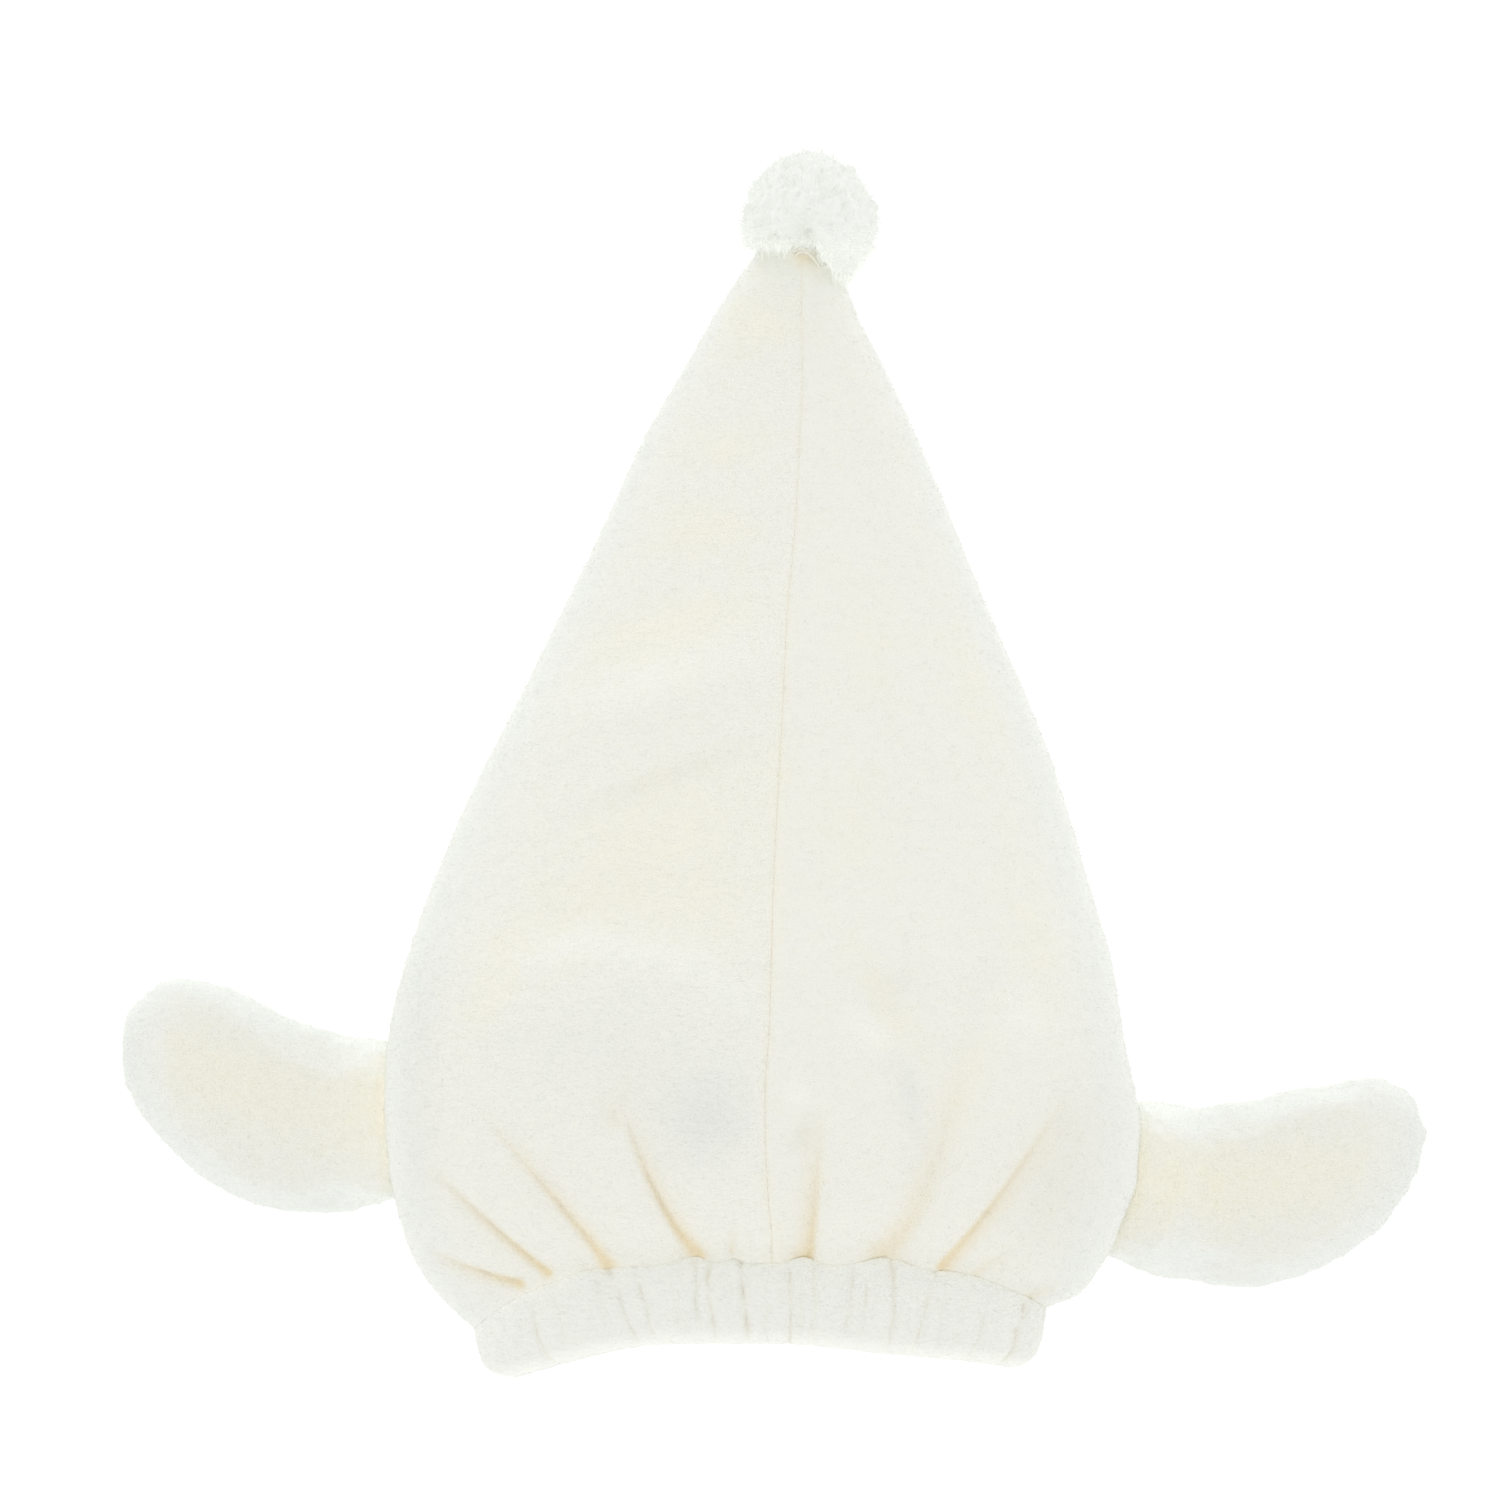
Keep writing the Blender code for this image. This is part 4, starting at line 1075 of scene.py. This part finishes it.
def front_panel():
    """The crown's front: the lower roll of both sides and the flat that it lies on, in one piece."""
    turns = np.concatenate([1 + np.linspace(SIDE_SEAM, 1, 9), 2 + np.arange(1, 49) / 48])
    rows = crown_rows(*FRONT_ROWS)
    left = cloth_sheet(rows, turns, LEFT, FRONT_ROUGH, 2 * MM)
    right = cloth_sheet(rows, turns[::-1], RIGHT, FRONT_ROUGH, 2 * MM)
    outer, inner = (joined(left[k], right[k]) for k in (0, 1))
    looks, inner_looks = ({key: joined(left[k][key], right[k][key]) for key in PLAIN_LOOKS} for k in (2, 3))
    piece = cloth_wall("crown_front", outer, inner, looks, inner_looks, True)
    settle(piece, "cream_plush", "front_panel")


class CAP_OT_crown(bpy.types.Operator):
    """Build the crown: two back panels with their folds and pile, and the plain front panel"""

    bl_idname = "cap.crown"
    bl_label = "Crown"

    def execute(self, context):
        back_panel(LEFT)
        back_panel(RIGHT)
        front_panel()
        return {"FINISHED"}


def band_profile():
    """The headband's closed profile from its seam down the outside and back up inside, as two columns."""
    top = [(0.0, 0.05), (0.015, 0.025), (0.035, 0.008), (0.06, 0.0)]
    outside = [(down, 0.0) for down in np.linspace(0.09, 0.77, 30)]
    inside = [(down, 1.0) for down in np.linspace(0.85, 0.0, 8)]
    down, inward = np.array([*top, *outside, *BAND_LIP, *inside]).T[..., None]
    return down, inward


def band_effect(x, down, under):
    """Crease and puff depth of the headband at places across and down it; under says which lie below.

    A crease is a bell across its line, which wanders a little, and it comes and goes along the line. The
    puff round it is a valley that falls off more slowly; where two meet, the deeper one holds.
    """
    crease, puff = np.zeros((2, *np.broadcast(x, down).shape))
    for c in BAND_CREASES:
        centre = (c.top_x + (c.foot_x - c.top_x) * down) * MM + under * 4 * MM * math.sin(c.top_x)
        place = np.stack(np.broadcast_arrays(x, down * CREASE_RUN, c.top_x * MM), axis=-1)
        away = np.abs(x - centre - CREASE_ASTRAY * wander(place, 7 * MM, 51))
        held = ease((down - c.start + 0.12) / 0.15) * ease((c.end + 0.12 - down) / 0.2)
        held = held * (0.8 + 0.7 * wander(place, 5 * MM, 52))
        crease = crease + CREASE_DEPTH * c.depth * MM * held * bell(away, 1.5 * c.wide * MM, 1.5)
        soft = c.depth * BAND_PUFF * MM * (0.3 + 0.7 * held) * fading(away, BAND_PUFF_WIDTH)
        puff = np.maximum(puff, soft)
    return crease, puff


def band_points(side):
    """Closed profile of the headband carried round one side, and its looks.

    A point lies its depth inside the crown's mouth: its place in the casing's wall, creases, puffs and, at
    the left end of the seam, the crown's folds that run on. Lower rows are narrower, fall back less to the
    sides and arch, and the casing swells between its two edges.
    """
    band = bpy.context.scene.cap_headband
    turns = np.concatenate([np.linspace(0, 1, 220), np.linspace(1, 2, 40)[1:], np.linspace(2, 3, 64)[1:]])
    down, inward = band_profile()
    at_seam = np.zeros(turns.shape)
    half, _, seam, dip = section_sizes(at_seam, side)
    x, z = ring_point(turns, at_seam, side)
    nx, nz = ring_normal(turns, at_seam, side)
    on_top, below = ease((1.3 - turns) / 0.3), ease((turns - 1.8) / 0.2)
    level_end = level_seam(x) * on_top
    gathers, _ = fold_effect(x, SEAM_Y - EDGE_TUCK - dip * bow(x - seam, half))
    crease, puff = (effect * (on_top + below) for effect in band_effect(x, down, turns > 1.5))
    shown = (1 - inward) ** 0.5
    depth = inward * band.thick + shown * (crease + puff)
    depth = depth * np.where((down < 0.06) & (inward < 0.1), 1 - 0.8 * level_end, 1.0)
    depth = depth + shown * gathers * level_end * fading(down, 0.12)
    from_seam = x - nx * depth - seam
    corner = 1 - np.sqrt(1 - np.maximum(0, (down - 0.55) / 0.45) ** 2)
    taper = 1 + (BAND_TAPER - 1) * down - BAND_CORNER[side] * corner
    arch = bell(from_seam + 53 * MM, 31 * MM) - 0.45 * bell(from_seam - 42 * MM, 22 * MM)
    back = bow(from_seam, half, DIP_POWER + (BAND_DIP_POWER - DIP_POWER) * down)
    y = SEAM_Y - down * band.height - dip * back * (1 + (BAND_LEVEL - 1) * down)
    y = y + scallop(from_seam + seam) * (1 - down) ** 2 * (turns < 1.5) + 0.5 * puff * ease(down)
    y = y + BAND_ARCH * arch * down
    belly = BAND_BELLY * np.sin(np.pi * np.minimum(1, down * 1.05)) * shown
    points = np.stack([seam + from_seam * taper + nx * belly, y, z - nz * depth + nz * belly], axis=-1)
    uneven = wander(points, (2.4 * MM, 2.0 * MM, 2.4 * MM), 8) + wander(points, 5 * MM, 9)
    uneven = uneven + 1.4 * wander(points, (1.8 * MM, 11 * MM, 8 * MM), 10)
    uneven = BAND_ROUGH * uneven * ease(down / 0.1) * (inward < 0.95)
    points = points + np.stack([nx, 0 * nx, nz], axis=-1) * uneven[..., None]
    points[..., 1] += 1.6 * MM * below * down
    points[..., 2] = np.maximum(points[..., 2], 0.0)
    return points, band_looks(crease, down, shown, from_seam, on_top, level_end)


def band_looks(crease, down, shown, from_seam, on_top, level_end):
    """How the headband looks: painted warm light in creases and at its seam, painted light at its edges."""
    # Painted warm light in the creases and along the seam
    warmth = 0.2 * np.clip(crease / (0.4 * MM), 0, 1) * shown + 0.15 * fading(down, 0.03) * on_top
    # Painted light: a little lighter all over, more at the lower and upper edges and where the crown closes
    # over the seam's left end; painted shade in the creases
    light = 0.25 + 0.8 * ease((down - 0.78) / 0.2) + 0.3 * fading(down, 0.04)
    light = light + (0.35 * fading(down, 0.25) + 0.6 * fading(down, 0.02)) * level_end
    light = light - 0.1 * np.clip(crease / (0.3 * MM), 0, 1) * shown
    flat = 0 * crease
    return {"warmth": warmth * seam_line(from_seam), "tone": flat + 0.22, "nap": flat + 1.3, "light": light}


class CAP_OT_headband(bpy.types.Operator):
    """Build the headband: a gathered casing round the mouth, with its creases and pile"""

    bl_idname = "cap.headband"
    bl_label = "Headband"

    def execute(self, context):
        (right, looks), (left, left_looks) = band_points(RIGHT), band_points(LEFT)
        back = slice(-2, 0, -1)
        points = np.concatenate([right, left[:, back]], axis=1)
        looks = {key: np.concatenate([looks[key], left_looks[key][:, back]], axis=1) for key in looks}
        rows, columns = points.shape[:2]
        first, last = np.arange(columns), np.arange(columns) + (rows - 1) * columns
        closing = np.stack([first, np.roll(first, -1), np.roll(last, -1), last], axis=-1)
        faces = grid_faces(rows, columns, 0, wrap=True, flip=True) + closing.tolist()
        piece = fresh_object("headband_casing", points, faces, plush(), looks)
        settle(piece, "cream_plush", "headband")

        def outside(middle, facing):
            inner = (np.abs(facing[:, 2]) > 0.3) & (facing[:, 2] * (middle[:, 2] - 14 * MM) < 0)
            return np.where(inner, 0.05, pile_share(facing)) * (facing[:, 1] < 0.7)

        length = context.scene.cap_crown.pile * 0.8
        pile_on(piece, "headband_pile", context.scene.cap_headband.tufts, length, outside, 21)
        return {"FINISHED"}


def under_crown(x, y, side):
    """Height of the crown's side above the floor over places in plan, large outside it, and how far inside.

    The crown's widest line and the roll under it are followed only where its rows go on towards the tip.
    """
    along = np.linspace(0, 0.6, 400)
    half, rise, seam, dip = section_sizes(along, side)
    edge_y = SEAM_Y + along * bpy.context.scene.cap_crown.length - dip
    on = np.maximum.accumulate(edge_y) == edge_y
    columns = seam + side * half, roll_radius(half), SIDE_LEVEL * rise
    edge, roll, level = (np.interp(y, edge_y[on], values[on]) for values in columns)
    inside = (edge - x) * side
    cosine = np.clip(1 - inside / roll, 0, 1)
    return np.where(inside > 0, level * (1 - np.sqrt(1 - cosine**2)), 1.0), inside


def padded_lobe(name, side, stations, reach):
    """An ear before it is filled: lens-shaped chords along Y, which crowd towards its end."""
    ears = bpy.context.scene.cap_ears
    edge = section_sizes(np.array([row.along for row in SECTIONS]), side)[0].max()
    root = np.linspace(-EAR_ROOT / reach, 0, 5)[:-1]
    out = np.concatenate([root, np.sin(np.linspace(0, 1, 30) * np.pi / 2)])[:, None]
    angle = np.arange(EAR_COLUMNS) * 2 * np.pi / EAR_COLUMNS
    free = np.maximum(out, 0)
    mid = smooth(stations, "mid", free) * ears.width - EAR_SHRINK / 2
    half = smooth(stations, "half", free) * ears.width + EAR_SHRINK - np.maximum(0, -out) * 0.5 * reach
    near_root = bell(free * reach, EAR_ROOT)
    thick = EAR_ROOT_THICK * near_root + (ears.thick - EAR_SWELL) * (1 - near_root)
    thick = thick * np.minimum(1, 0.25 + 1.6 * half / ears.width)
    chord = np.sign(np.cos(angle)) * np.abs(np.cos(angle)) ** LENS_POWER
    bulge = np.abs(np.sin(angle)) ** LENS_POWER
    level = EAR_LEVEL * thick
    z = np.where(np.sin(angle) >= 0, level + (thick - level) * bulge, level * (1 - bulge))
    x = side * (edge + out * (reach + EAR_SHRINK))
    points = np.stack(np.broadcast_arrays(x, EAR_MIDDLE[side] + mid + half * chord, z), axis=-1)
    faces = grid_faces(len(out), EAR_COLUMNS, 0, wrap=True, flip=side == LEFT)
    first = np.arange(EAR_COLUMNS)[::-side]
    faces += [first.tolist(), (first[::-1] + (len(out) - 1) * EAR_COLUMNS).tolist()]
    return fresh_object(name, points, faces, plush())


def apply_modifier(piece, kind, **settings):
    """Puts a modifier on a piece and makes its outcome the piece's own mesh."""
    modifier = piece.modifiers.new(kind.lower(), kind)
    for name, value in settings.items():
        setattr(modifier, name, value)
    bpy.context.view_layer.objects.active = piece
    bpy.ops.object.modifier_apply(modifier=modifier.name)


def fill_ear(piece):
    """Fills an ear like a cushion: cloth under pressure for 20 steps, with no point moved too far."""
    apply_modifier(piece, "REMESH", mode="VOXEL", voxel_size=3.5 * MM)
    before = read_values(piece.data.vertices, "co", 3)
    cloth = piece.modifiers.new("filling", "CLOTH")
    cloth.settings.use_pressure = True
    cloth.settings.uniform_pressure_force = 4
    cloth.settings.effector_weights.gravity = 0
    cloth.settings.mass = 0.3
    scene = bpy.context.scene
    for step in range(1, 21):
        scene.frame_set(step)
    filled = piece.evaluated_get(bpy.context.evaluated_depsgraph_get())
    move = read_values(filled.data.vertices, "co", 3) - before
    scene.frame_set(1)
    piece.modifiers.remove(cloth)
    size = np.maximum(np.linalg.norm(move, axis=1, keepdims=True), 1e-9)
    placed = before + move * np.minimum(1, EAR_SWELL / size)
    piece.data.vertices.foreach_set("co", placed.ravel())
    piece.data.update()


def finish_ear(piece, side):
    """Refines an ear, roughens it, seats it on the floor and tucks its root under the crown's side."""
    apply_modifier(piece, "SUBSURF", levels=2, render_levels=2)
    mark_looks(piece.data, {})
    points, normals, _, _ = mesh_arrays(piece)
    uneven = unevenness(points, (5, 3, 4), (2.4, 1.6, 2), 5)
    points = points + normals * (EAR_ROUGH * uneven)[:, None]
    roof, inside = under_crown(points[:, 0] + side * ROOT_SUNK, points[:, 1], side)
    points[:, 2] = np.clip(points[:, 2], 0.0, np.maximum(roof - 0.5 * MM, 0.3 * MM))
    piece.data.vertices.foreach_set("co", points.ravel())
    mark_looks(piece.data, ear_looks(points, normals, inside + ROOT_SUNK))
    piece.data.update()
    piece.data.shade_smooth()


def ear_looks(points, normals, inside):
    """How an ear looks: painted light on its rim, most on the upper slope, and painted warm light by its
    root.
    """
    # Painted warm light in the crevice where the ear goes under the crown
    near = 0.12 * bell(inside + 1.5 * MM, 2.2 * MM) + 0.08 * bell(inside, 6 * MM)
    near = np.where(inside > 0, 0.4, near)
    tone = 0.5 + 0.5 * bells(SHADES, "tone", points[:, 0], points[:, 1])
    flatter = 1 - 0.4 * bell(inside, 16 * MM)
    level = np.hypot(normals[:, 0] * ease(-inside / (30 * MM)), normals[:, 1] * flatter)
    rim = ease((level / np.maximum(normals[:, 2], 0.05) - 0.12) / 0.55)
    upper = normals[:, 1] / np.maximum(level, 1e-6)
    slope = np.where(upper > 0, 0.2 + 0.8 * upper, 0.2 - 0.4 * upper)
    crease = 0.5 * bell(inside, 6 * MM) + 0.5 * bell(inside, 1.5 * MM)
    # Painted light on the rim and in the crevice by the root, and painted shade elsewhere
    light = slope * rim + crease * (1 - rim) - 0.25
    # The rim is also painted in the cool colour, as the light at its edge
    return {"warmth": near * (1 - rim), "tone": tone * (1 - rim) - 0.1 * rim, "nap": 0.85, "light": light}


class CAP_OT_ears(bpy.types.Operator):
    """Build the two padded ears and tuck them under the crown's sides"""

    bl_idname = "cap.ears"
    bl_label = "Ears"

    def execute(self, context):
        ears = context.scene.cap_ears
        for side, name, stations, reach in (
            (LEFT, "left", LEFT_EAR, ears.reach_left),
            (RIGHT, "right", RIGHT_EAR, ears.reach_right),
        ):
            piece = padded_lobe(f"padded_ear_{name}", side, stations, reach)
            fill_ear(piece)
            finish_ear(piece, side)
            settle(piece, "cream_plush", f"ear_{name}")

            def outside(middle, facing, side=side):
                _, inside = under_crown(middle[:, 0], middle[:, 1], side)
                return (facing[:, 2] > -0.5) * (inside < 0.5 * MM) * pile_share(facing)

            length = context.scene.cap_crown.pile * 0.9
            pile_on(piece, f"ear_pile_{name}", ears.tufts, length, outside, 31 + side)
        return {"FINISHED"}


def sphere_directions(count, seed):
    """Unit directions spread evenly over a sphere, each a little astray."""
    rng = np.random.default_rng(seed)
    k = np.arange(count) + 0.5
    height = 1 - 2 * k / count
    turn = k * np.pi * (3 - math.sqrt(5))
    flat = np.sqrt(1 - height**2)
    way = np.stack([flat * np.cos(turn), flat * np.sin(turn), height], axis=-1)
    return unit(way + rng.normal(0, 0.05, way.shape))


def lobe_drop(x):
    """How far the yarn hangs in front of the tie at a place across: not at all left of the tip's edge."""
    return LOBE_DROP * ease((x - LOBE_START) / LOBE_SOFTNESS)


def pompom_reach(ways, centre, radius):
    """How far the yarn reaches from a centre each way: to a lumpy ball, and in front only to its open face.

    The face stands by the tie, gives way to the right of the tip and has a dent over the tie, where the
    strands part. The second number is the share of the ball's reach that is left.
    """
    from_middle = centre - BALL
    towards = ways @ from_middle
    reach = -towards + np.sqrt(np.maximum(towards**2 + radius**2 - from_middle @ from_middle, 1e-8))
    ends = centre + ways * reach[:, None]
    reach = reach * (0.975 + 0.05 * wander(ends, 9 * MM, 43) + 0.06 * wander(ends, 3.5 * MM, 44))
    reach = reach * (1 - 0.07 * ease((ways @ np.array([0.71, 0.71, 0.0]) - 0.8) / 0.2))
    full = reach
    for _ in range(4):
        ends = centre + ways * reach[:, None]
        face = TIE[1] - 0.8 * MM - lobe_drop(ends[:, 0])
        to_face = np.where(ways[:, 1] < -0.01, (centre[1] - face) / np.maximum(-ways[:, 1], 0.01), 1.0)
        reach = np.minimum(full, np.maximum(to_face, 0.3 * MM))
    parting = bell(np.linalg.norm((ends - TIE)[:, :2] / PARTING, axis=1), 1)
    reach = reach * (1 - PARTING_DEPTH * parting * ease(ways[:, 2] / 0.3))
    return reach, reach / full


def sag(points):
    """Lowers the lobe right of the tip, in front of the tie, on to the crown's side."""
    lobe = ease((points[..., 0] - 12 * MM) / (9 * MM)) * ease((176 * MM - points[..., 1]) / (12 * MM))
    points[..., 2] = np.maximum(points[..., 2] - 8 * MM * lobe, 0.2 * MM)
    return points


def pompom_heart(settings):
    """The lumpy ball of yarn under the cut ends; gives back its points."""
    radius = settings.diameter / 2
    polar = np.linspace(0, np.pi, HEART_ROWS + 2)[1:-1, None]
    turn = np.arange(HEART_COLUMNS) * 2 * np.pi / HEART_COLUMNS
    flat, up = np.sin(polar), np.cos(polar)
    ways = np.stack([flat * np.cos(turn), flat * np.sin(turn), up + 0 * turn], axis=-1).reshape(-1, 3)
    centre = BALL + 0.4 * (TIE - BALL)
    reach, _ = pompom_reach(ways, centre, radius)
    rough = 1 + 0.035 * wander(ways * radius, 2.2 * MM, 45) + 0.025 * wander(ways * radius, 1.0 * MM, 46)
    core = sag(centre + ways * (HEART_SHARE * reach * rough)[:, None])
    first = np.arange(HEART_COLUMNS)
    faces = grid_faces(HEART_ROWS, HEART_COLUMNS, 0, wrap=True, flip=True)
    faces += [first.tolist(), (first + (HEART_ROWS - 1) * HEART_COLUMNS)[::-1].tolist()]
    # Painted warm light in the hollow at the tie, and a painted glow in the yarn just above it
    warmth = 0.8 * bell(np.linalg.norm(core - TIE, axis=1), 3.5 * MM)
    light = 1.8 * bell(np.linalg.norm(core - TIE - ABOVE_TIE, axis=1), 7 * MM)
    yarn = shared_material("acrylic_yarn_cut", yarn_material, 0.04)
    settle(fresh_object("pompom_heart", core, faces, yarn, {"warmth": warmth, "light": light}), "white_yarn")
    return core


def cut_ends(settings, rng):
    """Paths of the strands' last stretch, which curl a little and end in the ball's face."""
    ways = sphere_directions(settings.strands, 42)
    reach, held = pompom_reach(ways, TIE, settings.diameter / 2)
    ways, reach = ways[held > 0.6], reach[held > 0.6]
    reach = reach * (1 + rng.normal(0, 0.018, len(ways)))
    stations = np.array([0.90, 0.97, 1.03])
    paths = TIE + (ways * reach[:, None])[:, None, :] * stations[None, :, None]
    curl = rng.normal(0, 1, (len(ways), 1, 3)) * (1.2 * MM * (stations - 0.9) / 0.13)[None, :, None]
    return sag(paths + curl)


def loose_ends(core, rng):
    """Paths of the ends along the upper edge of the yarn's open face, which lie over the tip."""
    low = TIE[1] + 1.5 * MM - lobe_drop(core[:, 0])
    height = np.where(core[:, 0] > 15 * MM, 8 * MM, 13 * MM)
    edge = core[(core[:, 1] < low) & (core[:, 2] > height) & (np.abs(core[:, 0] - TIE[0]) > 4.5 * MM)]
    foot = edge[rng.integers(0, len(edge), FRINGE)]
    reach = rng.uniform(0.3, 2.6, (FRINGE, 1)) * MM
    way = rng.normal(0, 0.6, (FRINGE, 3)) + np.array([0.0, -1.0, 0.1])
    bend = rng.normal(0, 0.5 * MM, (FRINGE, 3))
    return np.stack([foot - 0.5 * MM * way, foot + 0.5 * reach * way + bend, foot + reach * way], axis=1)


def spokes(core, rng):
    """Paths of the strands that are seen to run from the tie up the ball."""
    over_tie = np.hypot(core[:, 0] - TIE[0], core[:, 1] - TIE[1] - 5 * MM) < 8 * MM
    above = core[over_tie & (core[:, 2] > 20 * MM)]
    end = above[rng.integers(0, len(above), SPOKES)]
    astray = rng.normal(0, 1, (SPOKES, 3)) * np.array([2.0, 0.7, 0.3]) * MM
    start = TIE + np.array([0.0, -2.2, 5.4]) * MM + astray
    return np.stack([start, (start + end) / 2 + np.array([0.0, 0.0, 0.8]) * MM, end], axis=1)


def pompom_yarn(settings, core):
    """The cut ends, the loose ones and the spokes, each a thin tube that narrows to its end."""
    rng = np.random.default_rng(41)
    paths = np.concatenate([cut_ends(settings, rng), loose_ends(core, rng), spokes(core, rng)])
    thick = np.broadcast_to(settings.yarn / 2 * np.array([1.0, 0.8, 0.3]), paths.shape[:2])
    points, faces = tube_along(paths, thick)
    # The ends at the ball's front glow more, as painted light
    light = ease((182 * MM - points[..., 1]) / (12 * MM))
    yarn = shared_material("acrylic_yarn_ends", yarn_material, 0.2)
    settle(fresh_object("pompom_yarn", points, faces, yarn, {"light": light}), "white_yarn", "pompom")


def tie_thread(settings):
    """Two loops of the thread that ties the pompom, side by side over the crown's tip."""
    t = np.linspace(0, 1, 16)
    across, up = 5.6 + 11.4 * t, 167.6 + 5.4 * np.sin(np.pi * t**0.8) - 2.8 * t
    arch = np.stack([across, up, 16 + 9 * np.sin(np.pi * t)], axis=-1)
    loops = np.stack([arch, arch + np.array([0.5, -1.0, 0.2])]) * MM
    points, faces = tube_along(loops, np.full(loops.shape[:2], settings.thread / 2), sides=8)
    thread = shared_material("polyester_thread", thread_material)
    settle(fresh_object("tie_thread", points, faces, thread), "white_yarn")


class CAP_OT_pompom(bpy.types.Operator):
    """Build the pompom: cut strands of yarn that fan out from the tie, and the thread that holds them"""

    bl_idname = "cap.pompom"
    bl_label = "Pompom"

    def execute(self, context):
        settings = context.scene.cap_pompom
        core = pompom_heart(settings)
        pompom_yarn(settings, core)
        tie_thread(settings)
        return {"FINISHED"}


# Stage


def world_light(strength):
    """Light from all round: white by the horizon and softer overhead, so the cap's edges look bright."""
    world = bpy.data.worlds.new("studio_surround")
    bpy.context.scene.world = world
    world.use_nodes = True
    tree = world.node_tree
    way = add_node(tree, "ShaderNodeTexCoord", output="Generated")
    height = add_node(tree, "ShaderNodeSeparateXYZ", {"Vector": way}, output="Z")
    ends = {"From Min": 0.15, "From Max": 0.9, "To Min": 1.2 * strength, "To Max": 0.72 * strength}
    level = add_node(tree, "ShaderNodeMapRange", {"Value": height, **ends})
    set_inputs(tree, tree.nodes["Background"], {"Strength": level, "Color": to_linear("#FFFFFF")})


def add_to_scene(name, data):
    """A new object of some data, in the scene."""
    made = bpy.data.objects.new(name, data)
    bpy.context.scene.collection.objects.link(made)
    return made


class CAP_OT_stage(bpy.types.Operator):
    """Set up the pale floor, the soft light and the camera straight above the cap"""

    bl_idname = "cap.stage"
    bl_label = "Stage"

    def execute(self, context):
        scene = context.scene
        stage = scene.cap_stage
        scene.view_settings.view_transform = "Standard"
        world_light(stage.sky)
        corners = np.array([[-1, -1, 0], [1, -1, 0], [1, 1, 0], [-1, 1, 0]]) * FLOOR_HALF
        paper = shared_material("white_paper_sweep", paper_material)
        floor = fresh_object("floor", corners, [(0, 1, 2, 3)], paper)
        floor.location.z = -FLOOR_DROP
        sun = bpy.data.lights.new("key_light", "SUN")
        sun.energy = stage.key
        sun.angle = SUN_SPREAD
        add_to_scene("key_light", sun).rotation_euler = Vector(SUN_WAY).to_track_quat("-Z", "Y").to_euler()
        lens = bpy.data.cameras.new("camera")
        lens.lens = stage.lens
        lens.sensor_width = 36
        lens.clip_end = 100
        camera = add_to_scene("camera", lens)
        camera.location = Vector(AIM) + Vector((0, 0, stage.view_width * stage.lens / lens.sensor_width))
        scene.camera = camera
        return {"FINISHED"}


PARTS = (
    ("cap_crown", CrownSettings, CAP_OT_crown),
    ("cap_headband", HeadbandSettings, CAP_OT_headband),
    ("cap_ears", EarSettings, CAP_OT_ears),
    ("cap_pompom", PompomSettings, CAP_OT_pompom),
    ("cap_stage", StageSettings, CAP_OT_stage),
)


class CAP_PT_panel(bpy.types.Panel):
    """Lists the cap's sizes and its building steps."""

    bl_label = "Towel Cap"
    bl_idname = "CAP_PT_panel"
    bl_space_type = "VIEW_3D"
    bl_region_type = "UI"
    bl_category = "Towel Cap"

    def draw(self, context):
        layout = self.layout
        for owner, kind, step in PARTS:
            box = layout.box()
            for name in kind.__annotations__:
                box.prop(getattr(context.scene, owner), name)
            box.operator(step.bl_idname)


CLASSES = (*(part[1] for part in PARTS), *(part[2] for part in PARTS), CAP_PT_panel)


def register():
    """Adds the cap's steps, panel and settings to Blender."""
    for kind in CLASSES:
        bpy.utils.register_class(kind)
    for name, kind, _ in PARTS:
        setattr(bpy.types.Scene, name, PointerProperty(type=kind))


def unregister():
    """Takes them away again."""
    for name, _, _ in PARTS:
        delattr(bpy.types.Scene, name)
    for kind in reversed(CLASSES):
        bpy.utils.unregister_class(kind)


def main():
    """Builds every piece and the stage."""
    register()
    bpy.ops.cap.crown()
    bpy.ops.cap.headband()
    bpy.ops.cap.ears()
    bpy.ops.cap.pompom()
    bpy.ops.cap.stage()


if __name__ == "__main__":
    main()
